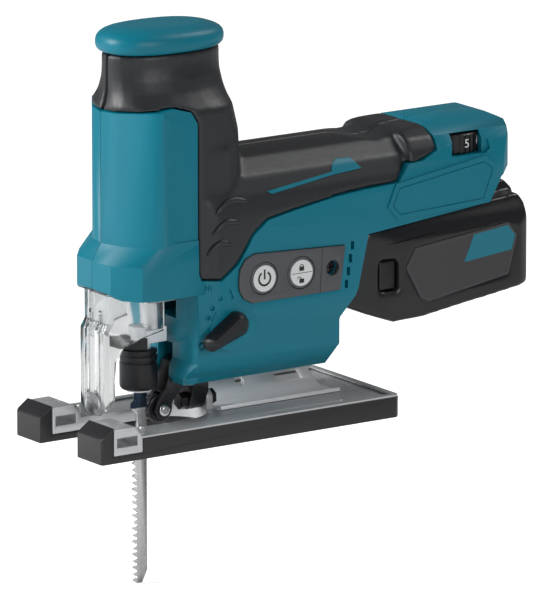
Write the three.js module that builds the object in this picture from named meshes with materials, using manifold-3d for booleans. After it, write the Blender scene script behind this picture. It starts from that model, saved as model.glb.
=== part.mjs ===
// Cordless barrel-grip jigsaw, in millimetres. +Z is up, -Y is the cutting direction, +X is the
// tool's left side. The origin is on the sole, under the middle of the base. Inside the model, y is
// counted from the front face of the base caps, and the whole group is shifted back at the end.
import * as THREE from 'three';
import { mergeVertices } from 'three/addons/utils/BufferGeometryUtils.js';
import Module from 'manifold-3d';

// ---- Driving dimensions -------------------------------------------------------------------------
const GAP = 0.3;              // clearance between pieces that touch
const ROUND = 28;             // facets round a middle-sized cylinder

const BASE_LENGTH = 178;
const BASE_WIDTH = 77;
const PRONG_GAP = 33;         // open notch between the two prongs
const NOTCH_LENGTH = 84;      // from the front to the round end of the notch
const SHOE_FLOOR = 3.5;
const SHOE_RIM_TOP = 10.4;
const SHOE_WALL = 1.6;
const CAP_DEPTH = 7;
const CAP_FRONT_HEIGHT = 13.3;
const CAP_BACK_HEIGHT = 18;
const PLATE_TOP = 10;
const BEAD_TOP = 11.5;
const PRONG_TOP = 17;
const PRONG_END = 19.4;         // where the raised prong block starts to slope down
const FENCE_SLOT = { front: 9, back: 21, bottom: 7.5, top: 12.5 };
const TILT_AXIS_HEIGHT = 15;
const SADDLE = { front: 88.5, back: 160, radius: 24, wall: 1.8, axisHeight: 33.4 };

const BODY_BOTTOM = 27;
const BODY_HALF_WIDTH = 33;
const LOWER_HALF_WIDTH = 28;
const FOOT_HALF_WIDTH = 15.5;
const FRONT_WALL = 63;        // front wall of the lower body
const BODY_BACK = 148;
const COLUMN_HALF_WIDTH = 30;
const COLUMN_FRONT = 25.2;
const COLUMN_TOP = 169.5;
const BULGE_FRONT = 20;
const BULGE_BOTTOM = 75.5;
const BULGE_TOP = 101;
const NECK = { y: 60.5, halfLength: 32, halfWidth: 19.5, top: 195 };
const CAP = { y: 60, halfLength: 33.5, halfWidth: 22, bottom: 195.3, top: 208 };
const BARREL_TOP = 140.5;
const TAIL_TOP = 143.6;
const TAIL_BACK = 256;
const TAIL_PITCH = THREE.MathUtils.degToRad(5.5);
const TAIL_FLOOR = 94;        // lower edge of the tail at its front end
const TAIL_FRONT = 162;
const RAIL_HALF_WIDTH = 19;
const RAIL_HEIGHT = 7;

const ROD_Y = 53.5;
const ROD_RADIUS = 4.75;
const ROD_BOTTOM = 47.8;
const ROD_TOP = 150;
const BUSHING_RADIUS = 7.2;
const STROKE = 23;
const GEAR_MODULE = 0.8;
const GEAR_TEETH = 54;
const PINION_TEETH = 8;
const GEAR_HEIGHT = 98;
const GEAR_FRONT = 67.5;
const GEAR_WIDTH = 6;
const YOKE_BACK = 62.5;
const MOTOR_FRONT = 97;
const MOTOR_LENGTH = 36;
const STATOR_RADIUS = 21.5;
const ROTOR_RADIUS = 12.5;
const MOTOR_SHAFT_RADIUS = 2.5;

const BLADE_BACK = 51.5;
const BLADE_TIP = -74;
const BLADE_DEPTH = 8.5;
const BLADE_THICKNESS = 1.2;
const TOOTH_PITCH = 3.3;
const SLEEVE_RADIUS = 9.5;
const SLEEVE = { y: 47, bottom: 25, top: 46 };
const ROLLER = { y: 58.6, z: 13.4, radius: 7.2 };
const ARM_PIVOT = { y: 67, z: 32 };
const LEVER_PIVOT = { y: 81.5, z: 58.7 };
const LEVER_ANGLE = THREE.MathUtils.degToRad(206);
const LEVER_LENGTH = 20;
const LEVER_TIP_RADIUS = 4.5;
const COVER = { lip: 19.5, front: 22, back: 51.5, bottom: 15, shoulder: 58, top: 77, wall: 2 };
const COVER_TRAVEL = 15;
const POWER_BUTTON = { y: 98.7, z: 80 };
const LOCK_BUTTON = { y: 120.8, z: 80 };
const BUTTON_RADIUS = 8;
const PANEL_SCREW = { y: 139.7, z: 80 };
const DIAL = { x: 17.5, y: 224, z: 131.5, radius: 12, height: 9.6, windowHalf: 9 };
const WORK_LIGHT = { x: -17, z: 66 };
const BATTERY_HALF_WIDTH = 32;
const BATTERY_BACK = 266.5;

const GEAR_RADIUS = GEAR_MODULE * GEAR_TEETH / 2;
const PINION_RADIUS = GEAR_MODULE * PINION_TEETH / 2;
const MOTOR_HEIGHT = GEAR_HEIGHT - GEAR_RADIUS - PINION_RADIUS - 0.2;
const CRANK_RADIUS = STROKE / 2;
const HALF_BASE = BASE_WIDTH / 2;
const HALF_GAP = PRONG_GAP / 2;

// ---- Finishes -----------------------------------------------------------------------------------
function finish(color, roughness, metalness) {
  return () => new THREE.MeshStandardMaterial({ color, roughness, metalness });
}
const teal = finish(0x0a7f92, 0.5, 0);
const softBlack = finish(0x26282b, 0.75, 0);
const black = finish(0x1a1b1d, 0.5, 0);
const greyPlastic = finish(0x6d7073, 0.5, 0);
const paleGrey = finish(0xd5d8da, 0.45, 0);
const aluminium = finish(0xaeb3b6, 0.4, 0.9);
const steel = finish(0xb9bcbe, 0.3, 1);
const darkSteel = finish(0x4b4e52, 0.4, 0.9);
const copper = finish(0xb26a3c, 0.4, 0.9);
const bronze = finish(0xa07c46, 0.4, 0.9);
const clear = finish(0xdfe8ea, 0.1, 0);
const circuit = finish(0x1f5b3a, 0.6, 0);
const cellBlue = finish(0x3566a8, 0.5, 0);

// ---- Solids -------------------------------------------------------------------------------------
const wasm = await Module();
wasm.setup();

function signedVolume(position, index) {
  let sum = 0;
  const a = new THREE.Vector3();
  const b = new THREE.Vector3();
  const c = new THREE.Vector3();
  for (let i = 0; i < index.length; i += 3) {
    a.fromBufferAttribute(position, index[i]);
    b.fromBufferAttribute(position, index[i + 1]);
    c.fromBufferAttribute(position, index[i + 2]);
    sum += a.dot(b.cross(c));
  }
  return sum / 6;
}

function solidOf(geometry) {
  const bare = geometry.clone();
  bare.deleteAttribute('normal');
  bare.deleteAttribute('uv');
  const merged = mergeVertices(bare, 1e-4);
  const position = merged.attributes.position;
  const corners = [];
  const all = merged.index.array;
  for (let i = 0; i < all.length; i += 3) {
    const [p, q, r] = [all[i], all[i + 1], all[i + 2]];
    if (p !== q && q !== r && r !== p) {
      corners.push(p, q, r);
    }
  }
  if (signedVolume(position, corners) < 0) {
    corners.reverse();
  }
  return new wasm.Manifold(new wasm.Mesh({
    numProp: 3,
    vertProperties: Float32Array.from(position.array),
    triVerts: Uint32Array.from(corners),
  }));
}

function join(first, ...others) {
  return others.reduce((whole, part) => whole.add(part), first);
}

function cut(first, ...others) {
  return others.reduce((whole, part) => whole.subtract(part), first);
}

const ALONG_X = new THREE.Matrix4().makeBasis(
  new THREE.Vector3(0, 1, 0), new THREE.Vector3(0, 0, 1), new THREE.Vector3(1, 0, 0));

function extruded(outline, depth) {
  const shape = new THREE.Shape(outline.map(([a, b]) => new THREE.Vector2(a, b)));
  return new THREE.ExtrudeGeometry(shape, { depth, bevelEnabled: false });
}

// A side outline of (y, z) points, from x0 to x1.
function acrossX(outline, x0, x1) {
  return solidOf(extruded(outline, x1 - x0).applyMatrix4(ALONG_X).translate(x0, 0, 0));
}

// A front outline of (x, z) points, from y0 to y1.
function acrossY(outline, y0, y1) {
  return solidOf(extruded(outline, y1 - y0).rotateX(Math.PI / 2).translate(0, y1, 0));
}

// A plan outline of (x, y) points, from z0 to z1.
function acrossZ(outline, z0, z1) {
  return solidOf(extruded(outline, z1 - z0).translate(0, 0, z0));
}

function box(x0, x1, y0, y1, z0, z1) {
  const shape = new THREE.BoxGeometry(x1 - x0, y1 - y0, z1 - z0);
  return solidOf(shape.translate((x0 + x1) / 2, (y0 + y1) / 2, (z0 + z1) / 2));
}

function rodX(y, z, radius, x0, x1, sides = ROUND) {
  const shape = new THREE.CylinderGeometry(radius, radius, x1 - x0, sides).rotateZ(Math.PI / 2);
  return solidOf(shape.translate((x0 + x1) / 2, y, z));
}

function rodY(x, z, radius, y0, y1, sides = ROUND) {
  const shape = new THREE.CylinderGeometry(radius, radius, y1 - y0, sides);
  return solidOf(shape.translate(x, (y0 + y1) / 2, z));
}

function rodZ(x, y, radius, z0, z1, sides = ROUND) {
  const shape = new THREE.CylinderGeometry(radius, radius, z1 - z0, sides).rotateX(Math.PI / 2);
  return solidOf(shape.translate(x, y, (z0 + z1) / 2));
}

// A profile of (radius, z) points turned round an upright axis.
function turnedZ(profile, x, y, sides = ROUND) {
  const points = profile.map(([r, z]) => new THREE.Vector2(r, z));
  return solidOf(new THREE.LatheGeometry(points, sides).rotateX(Math.PI / 2).translate(x, y, 0));
}

// A profile of (radius, x) points turned round an axis that runs across the tool.
function turnedX(profile, y, z, sides = ROUND) {
  const points = profile.map(([r, x]) => new THREE.Vector2(r, -x));
  return solidOf(new THREE.LatheGeometry(points, sides).rotateZ(Math.PI / 2).translate(0, y, z));
}

function arcPoints(centre, radius, from, to, steps) {
  const points = [];
  for (let i = 0; i <= steps; i += 1) {
    const angle = THREE.MathUtils.degToRad(from + (to - from) * i / steps);
    points.push([centre[0] + radius * Math.cos(angle), centre[1] + radius * Math.sin(angle)]);
  }
  return points;
}

function mirrored(half) {
  const other = half.filter(([x]) => x > 0).map(([x, b]) => [-x, b]).reverse();
  return [...half, ...other];
}

// Moves every corner of an outline outwards by the same distance.
function grown(outline, distance) {
  const shape = outline.map(([a, b]) => new THREE.Vector2(a, b));
  const turn = THREE.ShapeUtils.isClockWise(shape) ? 1 : -1;
  return shape.map((point, i) => {
    const before = shape[(i + shape.length - 1) % shape.length];
    const after = shape[(i + 1) % shape.length];
    const d0 = point.clone().sub(before).normalize();
    const d1 = after.clone().sub(point).normalize();
    const n0 = new THREE.Vector2(-d0.y, d0.x);
    const n1 = new THREE.Vector2(-d1.y, d1.x);
    const middle = n0.clone().add(n1).normalize();
    const reach = turn * distance / Math.max(middle.dot(n0), 0.5);
    return [point.x + middle.x * reach, point.y + middle.y * reach];
  });
}

// ---- The tool -----------------------------------------------------------------------------------
const tool = new THREE.Group();
tool.position.y = -BASE_LENGTH / 2;

function piece(name, solid, material) {
  const mesh = solid.getMesh();
  const geometry = new THREE.BufferGeometry();
  geometry.setAttribute('position', new THREE.BufferAttribute(Float32Array.from(mesh.vertProperties), 3));
  geometry.setIndex(Array.from(mesh.triVerts));
  geometry.computeVertexNormals();
  const made = new THREE.Mesh(geometry, material());
  made.name = name;
  tool.add(made);
}

// Each sloping surface of the tail and the battery follows the pitch of the battery's rail.
function tailLine(y, above = 0) {
  return [y, TAIL_FLOOR + Math.tan(TAIL_PITCH) * (y - TAIL_FRONT) + above];
}

// ---- Housing envelope ---------------------------------------------------------------------------
const columnFront = [[0, COLUMN_FRONT], [11.6, 28], [27, 38], [COLUMN_HALF_WIDTH, 42.5]];
const columnPlan = mirrored([...columnFront, [COLUMN_HALF_WIDTH, 66], [0, 66]]);
const bulgePlan = mirrored([
  [0, BULGE_FRONT], [15, BULGE_FRONT + 1], [28, 31], [COLUMN_HALF_WIDTH + 0.3, 38],
  [COLUMN_HALF_WIDTH + 0.3, 66], [0, 66],
]);
const bulgeSide = [
  [BULGE_FRONT - 1, 104], [66, 104], [66, BULGE_BOTTOM], [24.5, BULGE_BOTTOM], [BULGE_FRONT - 1, 79.7],
];
const columnSide = [
  [COLUMN_FRONT - 1, 77], [COLUMN_FRONT - 1, 166.5], [36, 168], [50, COLUMN_TOP], [59, 167],
  [62.7, 161], [62.7, 77],
];
const lowerSide = [
  [FRONT_WALL, 110], [FRONT_WALL, 40], [61, 36], [60.6, 31], [63.5, BODY_BOTTOM], [BODY_BACK, BODY_BOTTOM],
  [BODY_BACK, 53], [154.5, 64.5], [156, 68], [161.3, 91], [TAIL_FRONT, TAIL_FLOOR], [TAIL_FRONT, 110],
];
const lowerPlan = mirrored([
  [0, 55], [29, 55], [29, FRONT_WALL + 0.5], [BODY_HALF_WIDTH, 72], [BODY_HALF_WIDTH, 215], [0, 215],
]);
const lowerSection = mirrored([
  [0, BODY_BOTTOM], [FOOT_HALF_WIDTH, BODY_BOTTOM], [LOWER_HALF_WIDTH, 39.5], [LOWER_HALF_WIDTH, 51.5],
  [BODY_HALF_WIDTH, 64], [BODY_HALF_WIDTH, 112], [0, 112],
]);
const barrelSection = mirrored([
  [0, 50], [BODY_HALF_WIDTH, 50], [BODY_HALF_WIDTH, 112], [31.5, 121], [26, 130.5], [16, 138],
  [7, BARREL_TOP - 0.4], [0, BARREL_TOP],
]);
const tailSection = mirrored([
  [0, 50], [BODY_HALF_WIDTH, 50], [BODY_HALF_WIDTH, 114], [32.5, 123], [30.5, 131.5], [26.5, 137.5],
  [19, 141], [9, TAIL_TOP - 0.3], [0, TAIL_TOP],
]);
const tailSide = [
  [100, 100], [161.5, 100], tailLine(TAIL_FRONT), tailLine(236), [243, 113.5], [250, 118],
  [TAIL_BACK, 128], [TAIL_BACK, 131], [253, 139], [247, 142.6], [228, TAIL_TOP], [206, 142],
  [192, 141], [184, 138], [100, 138],
];
const tailPlan = mirrored([
  [0, 90], [BODY_HALF_WIDTH, 90], [BODY_HALF_WIDTH, 244], [29, 249.5], [15, 254], [0, TAIL_BACK],
]);
const gripSide = [
  [63, 86], [63.1, 161.3], [59.3, 167.4], [50, 169.9], [36, 168.4], [25, 167], [25, NECK.top],
  [102, NECK.top], [102, 154], [104, 144], [110, 140.6], [132, BARREL_TOP], [160, BARREL_TOP],
  [176, 137.5], [184, 138], [192, 141], [206, 142], [205, 131], [196, 127], [187, 126.5], [180, 117.8],
  [160, 117],
  [143, 115.6], [119, 112], [102, 109], [93.2, 102.3], [90, 97], [84.2, 88.7], [74.6, 81.8], [64.5, 82.5],
];
const gripPlan = mirrored([...columnFront, [COLUMN_HALF_WIDTH, 80], [25, 90], [13, 97], [0, 99.5]]);

// A stack of convex plans with equal numbers of corners, closed at both ends.
function planLoft(levels) {
  const steps = levels[0].plan.length;
  const vertices = levels.flatMap(({ z, plan }) => plan.flatMap(([x, y]) => [x, y, z]));
  const triangles = [];
  const top = (levels.length - 1) * steps;
  for (let i = 1; i < steps - 1; i += 1) {
    triangles.push(0, i + 1, i);
    triangles.push(top, top + i, top + i + 1);
  }
  for (let k = 0; k < levels.length - 1; k += 1) {
    for (let i = 0; i < steps; i += 1) {
      const next = (i + 1) % steps;
      const a = k * steps;
      const b = a + steps;
      triangles.push(a + i, a + next, b + next);
      triangles.push(a + i, b + next, b + i);
    }
  }
  const geometry = new THREE.BufferGeometry();
  geometry.setAttribute('position', new THREE.Float32BufferAttribute(vertices, 3));
  geometry.setIndex(triangles);
  return solidOf(geometry);
}

// An oval plan; a power above 2 squares its corners.
function ovalPlan({ y, halfLength, halfWidth, power = 2 }, steps = 28) {
  const points = [];
  for (let i = 0; i < steps; i += 1) {
    const angle = i * 2 * Math.PI / steps;
    const across = Math.sign(Math.cos(angle)) * Math.abs(Math.cos(angle)) ** (2 / power);
    const along = Math.sign(Math.sin(angle)) * Math.abs(Math.sin(angle)) ** (2 / power);
    points.push([halfWidth * across, y + halfLength * along]);
  }
  return points;
}

function ovalLoft(levels) {
  return planLoft(levels.map((level) => ({ z: level.z, plan: ovalPlan(level) })));
}

const neckLoft = ovalLoft([
  { z: 146, y: 62.2, halfLength: 37.2, halfWidth: 30, power: 3 },
  { z: 156, y: 60.8, halfLength: 35.6, halfWidth: 30, power: 3 },
  { z: 167, y: 59.4, halfLength: 34.1, halfWidth: 30, power: 3 },
  { z: 171, y: 60.2, halfLength: 33.2, halfWidth: 27, power: 2.4 },
  { z: 176, y: NECK.y, halfLength: 32.4, halfWidth: 23.5, power: 2.2 },
  { z: 183, y: NECK.y, halfLength: NECK.halfLength, halfWidth: 20.5 },
  { z: 189, y: NECK.y, halfLength: NECK.halfLength, halfWidth: NECK.halfWidth },
  { z: NECK.top, y: NECK.y, halfLength: NECK.halfLength, halfWidth: NECK.halfWidth + 0.5 },
]);

const tailBody = acrossX(tailSide, -BODY_HALF_WIDTH, BODY_HALF_WIDTH)
  .intersect(acrossY(tailSection, 99, TAIL_BACK))
  .intersect(acrossZ(tailPlan, 60, 150));
const lowerBody = acrossX(lowerSide, -BODY_HALF_WIDTH, BODY_HALF_WIDTH)
  .intersect(acrossY(lowerSection, 55, 165))
  .intersect(acrossZ(lowerPlan, 20, 115));
const columnBody = acrossX(columnSide, -COLUMN_HALF_WIDTH, COLUMN_HALF_WIDTH)
  .intersect(acrossZ(columnPlan, 76, 176));
const bulgeBody = planLoft([
  { z: BULGE_BOTTOM, plan: bulgePlan }, { z: 92.5, plan: bulgePlan }, { z: BULGE_TOP, plan: columnPlan },
]).intersect(acrossX(bulgeSide, -31, 31));

const gripEnvelope = join(
  neckLoft.intersect(acrossZ(gripPlan, 140, NECK.top)),
  acrossZ(gripPlan, 80, 147),
  acrossY(barrelSection, 66, 190).intersect(acrossZ(lowerPlan, 60, 150)),
  acrossY(tailSection, 188, 210),
);
const gripBody = acrossX(gripSide, -BODY_HALF_WIDTH, BODY_HALF_WIDTH).intersect(gripEnvelope);
const gripRoom = acrossX(grown(gripSide, GAP), -BODY_HALF_WIDTH - 2, BODY_HALF_WIDTH + 2);

// ---- Hollows in the housing ---------------------------------------------------------------------
const GEAR_ROOM_BACK = 88;
const GEAR_ROOM_TOP = 122;
const ARM_ROOM_TOP = 140;
const hollowFront = [[0, 31], [8, 32], [22, 41]];
const columnHollow = join(
  acrossZ(mirrored([...hollowFront, [25, 45], [25, 78], [19, GEAR_ROOM_BACK], [0, GEAR_ROOM_BACK]]),
    BULGE_BOTTOM + 2.5, GEAR_ROOM_TOP),
  acrossZ(mirrored([...hollowFront, [22, 70], [12, 85.5], [0, 86]]), GEAR_ROOM_TOP - 1, ARM_ROOM_TOP),
  acrossZ(mirrored([...hollowFront, [20, 60], [12, 72], [0, 76]]), ARM_ROOM_TOP - 1, 162),
);
const neckHollow = acrossZ(
  ovalPlan({ y: NECK.y, halfLength: NECK.halfLength - 5, halfWidth: NECK.halfWidth - 5 }), 150, NECK.top + 1);
const motorHollow = rodY(0, MOTOR_HEIGHT, STATOR_RADIUS + 0.8, 78, BODY_BACK - 2.5);
const gearPlateRoom = box(-24.6, 24.6, 77.5, GEAR_ROOM_BACK, 49.5, GEAR_ROOM_TOP);
const pinionRoom = box(-8, 8, 64, 80, MOTOR_HEIGHT - 7, 90);
const boardRoom = box(23, 29, 86, 146, 69.5, 90.5);
const barrelHollow = box(-23, 23, 90, 234, 108, 130);
const rearVentRoom = box(-20, 20, 140, 158, 84, 90);
const bottomArmRoom = box(-6.4, 6.4, 54, 80, 20, 47);
const rodRoom = rodZ(0, ROD_Y, ROD_RADIUS + 5, 60, 90);
const bracketRoom = box(-9.6, 9.6, 43.6, 80, 60, 79);
const railRoom = acrossX(
  [tailLine(TAIL_FRONT - 2, -1), tailLine(TAIL_BACK + 8, -1), tailLine(TAIL_BACK + 8, RAIL_HEIGHT + 0.8),
    tailLine(TAIL_FRONT + 4, RAIL_HEIGHT + 0.8), tailLine(TAIL_FRONT - 2, RAIL_HEIGHT - 3)],
  -RAIL_HALF_WIDTH - 0.5, RAIL_HALF_WIDTH + 0.5);
const wingRoom = box(-40, -4, SADDLE.front - 2, BODY_BACK + 5, 0, 60)
  .intersect(rodY(0, TILT_AXIS_HEIGHT, 23.8, SADDLE.front - 2, BODY_BACK + 5, 48));

// The plan of the dust cover's outside; inset moves it inwards.
function coverPlan(front, inset) {
  const side = 16.5 - inset;
  const corner = 12.2 - inset;
  const back = COVER.back + Math.abs(inset);
  return mirrored([
    [0, front + inset], [10 - inset, front + inset], [corner, front + 2.5 + inset / 2], [side, 36],
    [side, back], [0, back],
  ]);
}
function coverShell(inset, bottom, top) {
  const lower = coverPlan(COVER.lip, inset);
  const upper = coverPlan(COVER.front, inset);
  return planLoft([
    { z: bottom, plan: lower }, { z: COVER.shoulder, plan: lower },
    { z: COVER.shoulder + 4, plan: upper }, { z: top, plan: upper },
  ]);
}
const COVER_PLAY = 0.35;
const coverRoom = cut(
  coverShell(-COVER_PLAY, COVER.bottom, COVER.top + COVER_TRAVEL + 1),
  coverShell(COVER.wall + COVER_PLAY, COVER.bottom - 1, COVER.top + COVER_TRAVEL + 2),
).intersect(box(-30, 30, 0, 60, BULGE_BOTTOM - 3, 120));
const panelOutline = [
  [84, 79.5], [84.7, 86], [87.8, 90.6], [93.5, 92.8], [147.3, 90.3], [144.3, 68.4], [92, 68.4], [87, 71],
  [84.5, 75],
];
const panelRoom = acrossX(grown(panelOutline, GAP), BODY_HALF_WIDTH - 2.5, BODY_HALF_WIDTH + 3);
const DIAL_FLOOR = DIAL.z - DIAL.height / 2;
const dialRoom = join(
  rodZ(DIAL.x, DIAL.y, DIAL.radius + 0.6, DIAL_FLOOR - 0.6, DIAL_FLOOR + DIAL.height + 0.6),
  box(DIAL.x, 40, DIAL.y - DIAL.windowHalf, DIAL.y + DIAL.windowHalf, DIAL_FLOOR - 0.6,
    DIAL_FLOOR + DIAL.height + 1),
).intersect(box(0, 40, DIAL.y - 20, DIAL.y + 20, 100, 150));
const VENT = { y: 148.7, z: 70.5, drift: 1.2, pitch: 6.37, width: 2, height: 4.2 };
const ventSlots = [0, 1, 2, 3].map((row) => {
  const y = VENT.y + row * VENT.drift;
  const z = VENT.z + row * VENT.pitch;
  return box(
    BODY_HALF_WIDTH - 6, BODY_HALF_WIDTH + 2, y - VENT.width / 2, y + VENT.width / 2,
    z - VENT.height / 2, z + VENT.height / 2,
  );
});

const leverBoss = rodX(LEVER_PIVOT.y, LEVER_PIVOT.z, 13, 24, BODY_HALF_WIDTH);
const leverBore = rodX(LEVER_PIVOT.y, LEVER_PIVOT.z, 4.4, 0, 40);
const pivotBore = rodX(ARM_PIVOT.y, ARM_PIVOT.z, 2.8, -20, 20);
const buttonWells = [POWER_BUTTON, LOCK_BUTTON].map(({ y, z }) => rodX(y, z, BUTTON_RADIUS - 2, 28, 31));
const screwWell = rodX(PANEL_SCREW.y, PANEL_SCREW.z, 3.7, 28, 31);
const terminalWindow = box(-14.4, 14.4, 171.5, 206.5, 98, 112);
const lightSocket = rodY(WORK_LIGHT.x, WORK_LIGHT.z, 3.3, FRONT_WALL - 3, FRONT_WALL + 3, 16);
const cavity = join(
  columnHollow, neckHollow, motorHollow, gearPlateRoom, pinionRoom, boardRoom, barrelHollow, rearVentRoom,
  bottomArmRoom, rodRoom, bracketRoom, railRoom, coverRoom, screwWell, terminalWindow, lightSocket,
  ...buttonWells,
  rodX(LEVER_PIVOT.y, LEVER_PIVOT.z, 7.5, -8, 12),
);
const tealWhole = cut(
  join(columnBody, bulgeBody, lowerBody, tailBody, leverBoss),
  gripRoom, cavity, wingRoom, panelRoom, leverBore, pivotBore, dialRoom, ...ventSlots,
);
const gripWhole = cut(gripBody, cavity, box(-29, 29, 64, 96, 80, 108).intersect(columnHollow));

// ---- Screws in the right shell ------------------------------------------------------------------
const SCREWS = [
  { name: 'housing_screw_front', y: 58, z: 90, x: 30.5 },
  { name: 'housing_screw_lower', y: 140, z: 45, x: LOWER_HALF_WIDTH },
  { name: 'housing_screw_tail', y: 236, z: 113, x: BODY_HALF_WIDTH },
];
const screwHoles = SCREWS.map(({ y, z, x }) => rodX(y, z, 3.6, -x - 1, -x + 6, 16));

function halfOf(solid, side) {
  const [x0, x1] = side > 0 ? [GAP / 2, 60] : [-60, -GAP / 2];
  return solid.intersect(box(x0, x1, -20, 300, -10, 240));
}
// The largest closed body of a cut, which drops crumbs that a cut leaves behind.
function mainBody(solid) {
  return solid.decompose().sort((a, b) => b.volume() - a.volume())[0];
}
piece('housing_left', mainBody(halfOf(tealWhole, 1)), teal);
piece('housing_right', mainBody(cut(halfOf(tealWhole, -1), ...screwHoles)), teal);
piece('grip_left', mainBody(halfOf(gripWhole, 1)), softBlack);
piece('grip_right', mainBody(halfOf(gripWhole, -1)), softBlack);
SCREWS.forEach(({ name, y, z, x }) => {
  const head = rodX(y, z, 3.2, -x + 0.6, -x + 3.2, 16);
  const shank = rodX(y, z, 1.5, -x + 3, -x + 5.6, 12);
  const slot = box(-x, -x + 1.8, y - 0.5, y + 0.5, z - 2, z + 2);
  const cross = box(-x, -x + 1.8, y - 2, y + 2, z - 0.5, z + 0.5);
  piece(name, cut(join(head, shank), slot, cross), darkSteel);
});

const capLoft = ovalLoft([
  { z: CAP.bottom, y: CAP.y, halfLength: CAP.halfLength - 1.5, halfWidth: CAP.halfWidth - 1.5 },
  { z: CAP.bottom + 2, y: CAP.y, halfLength: CAP.halfLength, halfWidth: CAP.halfWidth },
  { z: CAP.bottom + 5, y: CAP.y, halfLength: CAP.halfLength, halfWidth: CAP.halfWidth },
  { z: CAP.bottom + 9.5, y: CAP.y, halfLength: CAP.halfLength - 3, halfWidth: CAP.halfWidth - 3 },
  { z: CAP.top, y: CAP.y, halfLength: CAP.halfLength - 9, halfWidth: CAP.halfWidth - 8 },
]);
piece('top_cap', capLoft, teal);

// ---- Switch panel and buttons -------------------------------------------------------------------
const PANEL_OUTER = BODY_HALF_WIDTH + 1;
const PANEL_INNER = BODY_HALF_WIDTH - 2.2;
piece('switch_panel', cut(
  acrossX(panelOutline, PANEL_INNER, PANEL_OUTER),
  rodX(POWER_BUTTON.y, POWER_BUTTON.z, BUTTON_RADIUS + GAP, 20, 40),
  rodX(LOCK_BUTTON.y, LOCK_BUTTON.z, BUTTON_RADIUS + GAP, 20, 40),
  rodX(PANEL_SCREW.y, PANEL_SCREW.z, 3.9, 20, 40),
), greyPlastic);
function button(name, place) {
  piece(name, turnedX([
    [0, PANEL_INNER - 0.4], [BUTTON_RADIUS - 2.5, PANEL_INNER - 0.4],
    [BUTTON_RADIUS - 2.5, PANEL_INNER + 0.5],
    [BUTTON_RADIUS, PANEL_INNER + 0.5], [BUTTON_RADIUS, PANEL_OUTER - 0.2],
    [BUTTON_RADIUS - 0.8, PANEL_OUTER + 0.3], [0, PANEL_OUTER + 0.3],
  ], place.y, place.z), paleGrey);
}
button('power_button', POWER_BUTTON);
button('lock_button', LOCK_BUTTON);
piece('panel_screw', cut(
  turnedX([[0, 26.2], [1.3, 26.2], [1.3, 29.6], [3.3, 29.6], [3.3, 30.8], [2.4, 31.6], [0, 31.8]],
    PANEL_SCREW.y, PANEL_SCREW.z, 20),
  box(30.6, 33, PANEL_SCREW.y - 0.4, PANEL_SCREW.y + 0.4, 78.2, 81.8),
  box(30.6, 33, PANEL_SCREW.y - 1.8, PANEL_SCREW.y + 1.8, 79.6, 80.4),
), darkSteel);
piece('switch_board', cut(
  box(24.2, 25.8, 88, 145, 70.5, 89.5),
  rodX(PANEL_SCREW.y, PANEL_SCREW.z, 1.7, 20, 40, 12),
), circuit);

// ---- Orbital lever, its cam, and the roller arm -------------------------------------------------
function leverOutline() {
  const along = [Math.cos(LEVER_ANGLE), Math.sin(LEVER_ANGLE)];
  const reach = LEVER_LENGTH - LEVER_TIP_RADIUS;
  const tip = [LEVER_PIVOT.y + along[0] * reach, LEVER_PIVOT.z + along[1] * reach];
  const turn = THREE.MathUtils.radToDeg(LEVER_ANGLE);
  return [
    ...arcPoints([LEVER_PIVOT.y, LEVER_PIVOT.z], 7, turn - 250, turn - 100, 8),
    ...arcPoints(tip, LEVER_TIP_RADIUS, turn - 80, turn + 80, 6),
  ];
}
const LEVER_FACE = BODY_HALF_WIDTH + GAP;
piece('orbital_lever', join(
  acrossX(leverOutline(), LEVER_FACE, LEVER_FACE + 7),
  rodX(LEVER_PIVOT.y, LEVER_PIVOT.z, 4, 13, LEVER_FACE + 1, 20),
), black);
piece('orbital_cam', cut(
  join(rodX(LEVER_PIVOT.y, LEVER_PIVOT.z, 5.5, -5, 5), rodX(LEVER_PIVOT.y, LEVER_PIVOT.z, 2.6, 4, 12.6, 16)),
  box(-6, 6, LEVER_PIVOT.y - 8, LEVER_PIVOT.y - 4, LEVER_PIVOT.z - 8, LEVER_PIVOT.z + 8),
), darkSteel);

const armCheek = [
  ...arcPoints([ROLLER.y, ROLLER.z], 4.6, 150, 330, 8),
  [64, 17], [69.5, 23], ...arcPoints([ARM_PIVOT.y, ARM_PIVOT.z], 5.4, -20, 120, 8), [61.8, 31], [60, 24],
  [55.5, 18],
];
const rollerRoom = join(
  rodX(ROLLER.y, ROLLER.z, ROLLER.radius + 0.9, -2.7, 2.7),
  box(-2.7, 2.7, ROLLER.y - 20, ROLLER.y, 0, 23),
);
piece('roller_arm', cut(
  acrossX(armCheek, -5, 5), rollerRoom,
  rodX(ROLLER.y, ROLLER.z, 2.1, -10, 10), rodX(ARM_PIVOT.y, ARM_PIVOT.z, 2.8, -10, 10),
), darkSteel);
piece('roller_pin', turnedX([
  [0, -6.4], [2.6, -6.4], [2.6, -5.3], [1.8, -5.3], [1.8, 5.3], [3.1, 5.3], [3.1, 6.2], [2, 7.2], [0, 7.5],
], ROLLER.y, ROLLER.z, 20), steel);
piece('roller', turnedX([
  [2.1, -2.2], [ROLLER.radius - 0.5, -2.2], [ROLLER.radius, -1.8], [ROLLER.radius, -1],
  [ROLLER.radius - 0.7, -0.9], [ROLLER.radius - 0.7, 0.9], [ROLLER.radius, 1], [ROLLER.radius, 1.8],
  [ROLLER.radius - 0.5, 2.2], [2.1, 2.2], [2.1, -2.2],
], ROLLER.y, ROLLER.z, 40), darkSteel);
piece('arm_pivot_pin', rodX(ARM_PIVOT.y, ARM_PIVOT.z, 2.5, -14, 14, 20), steel);

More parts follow.
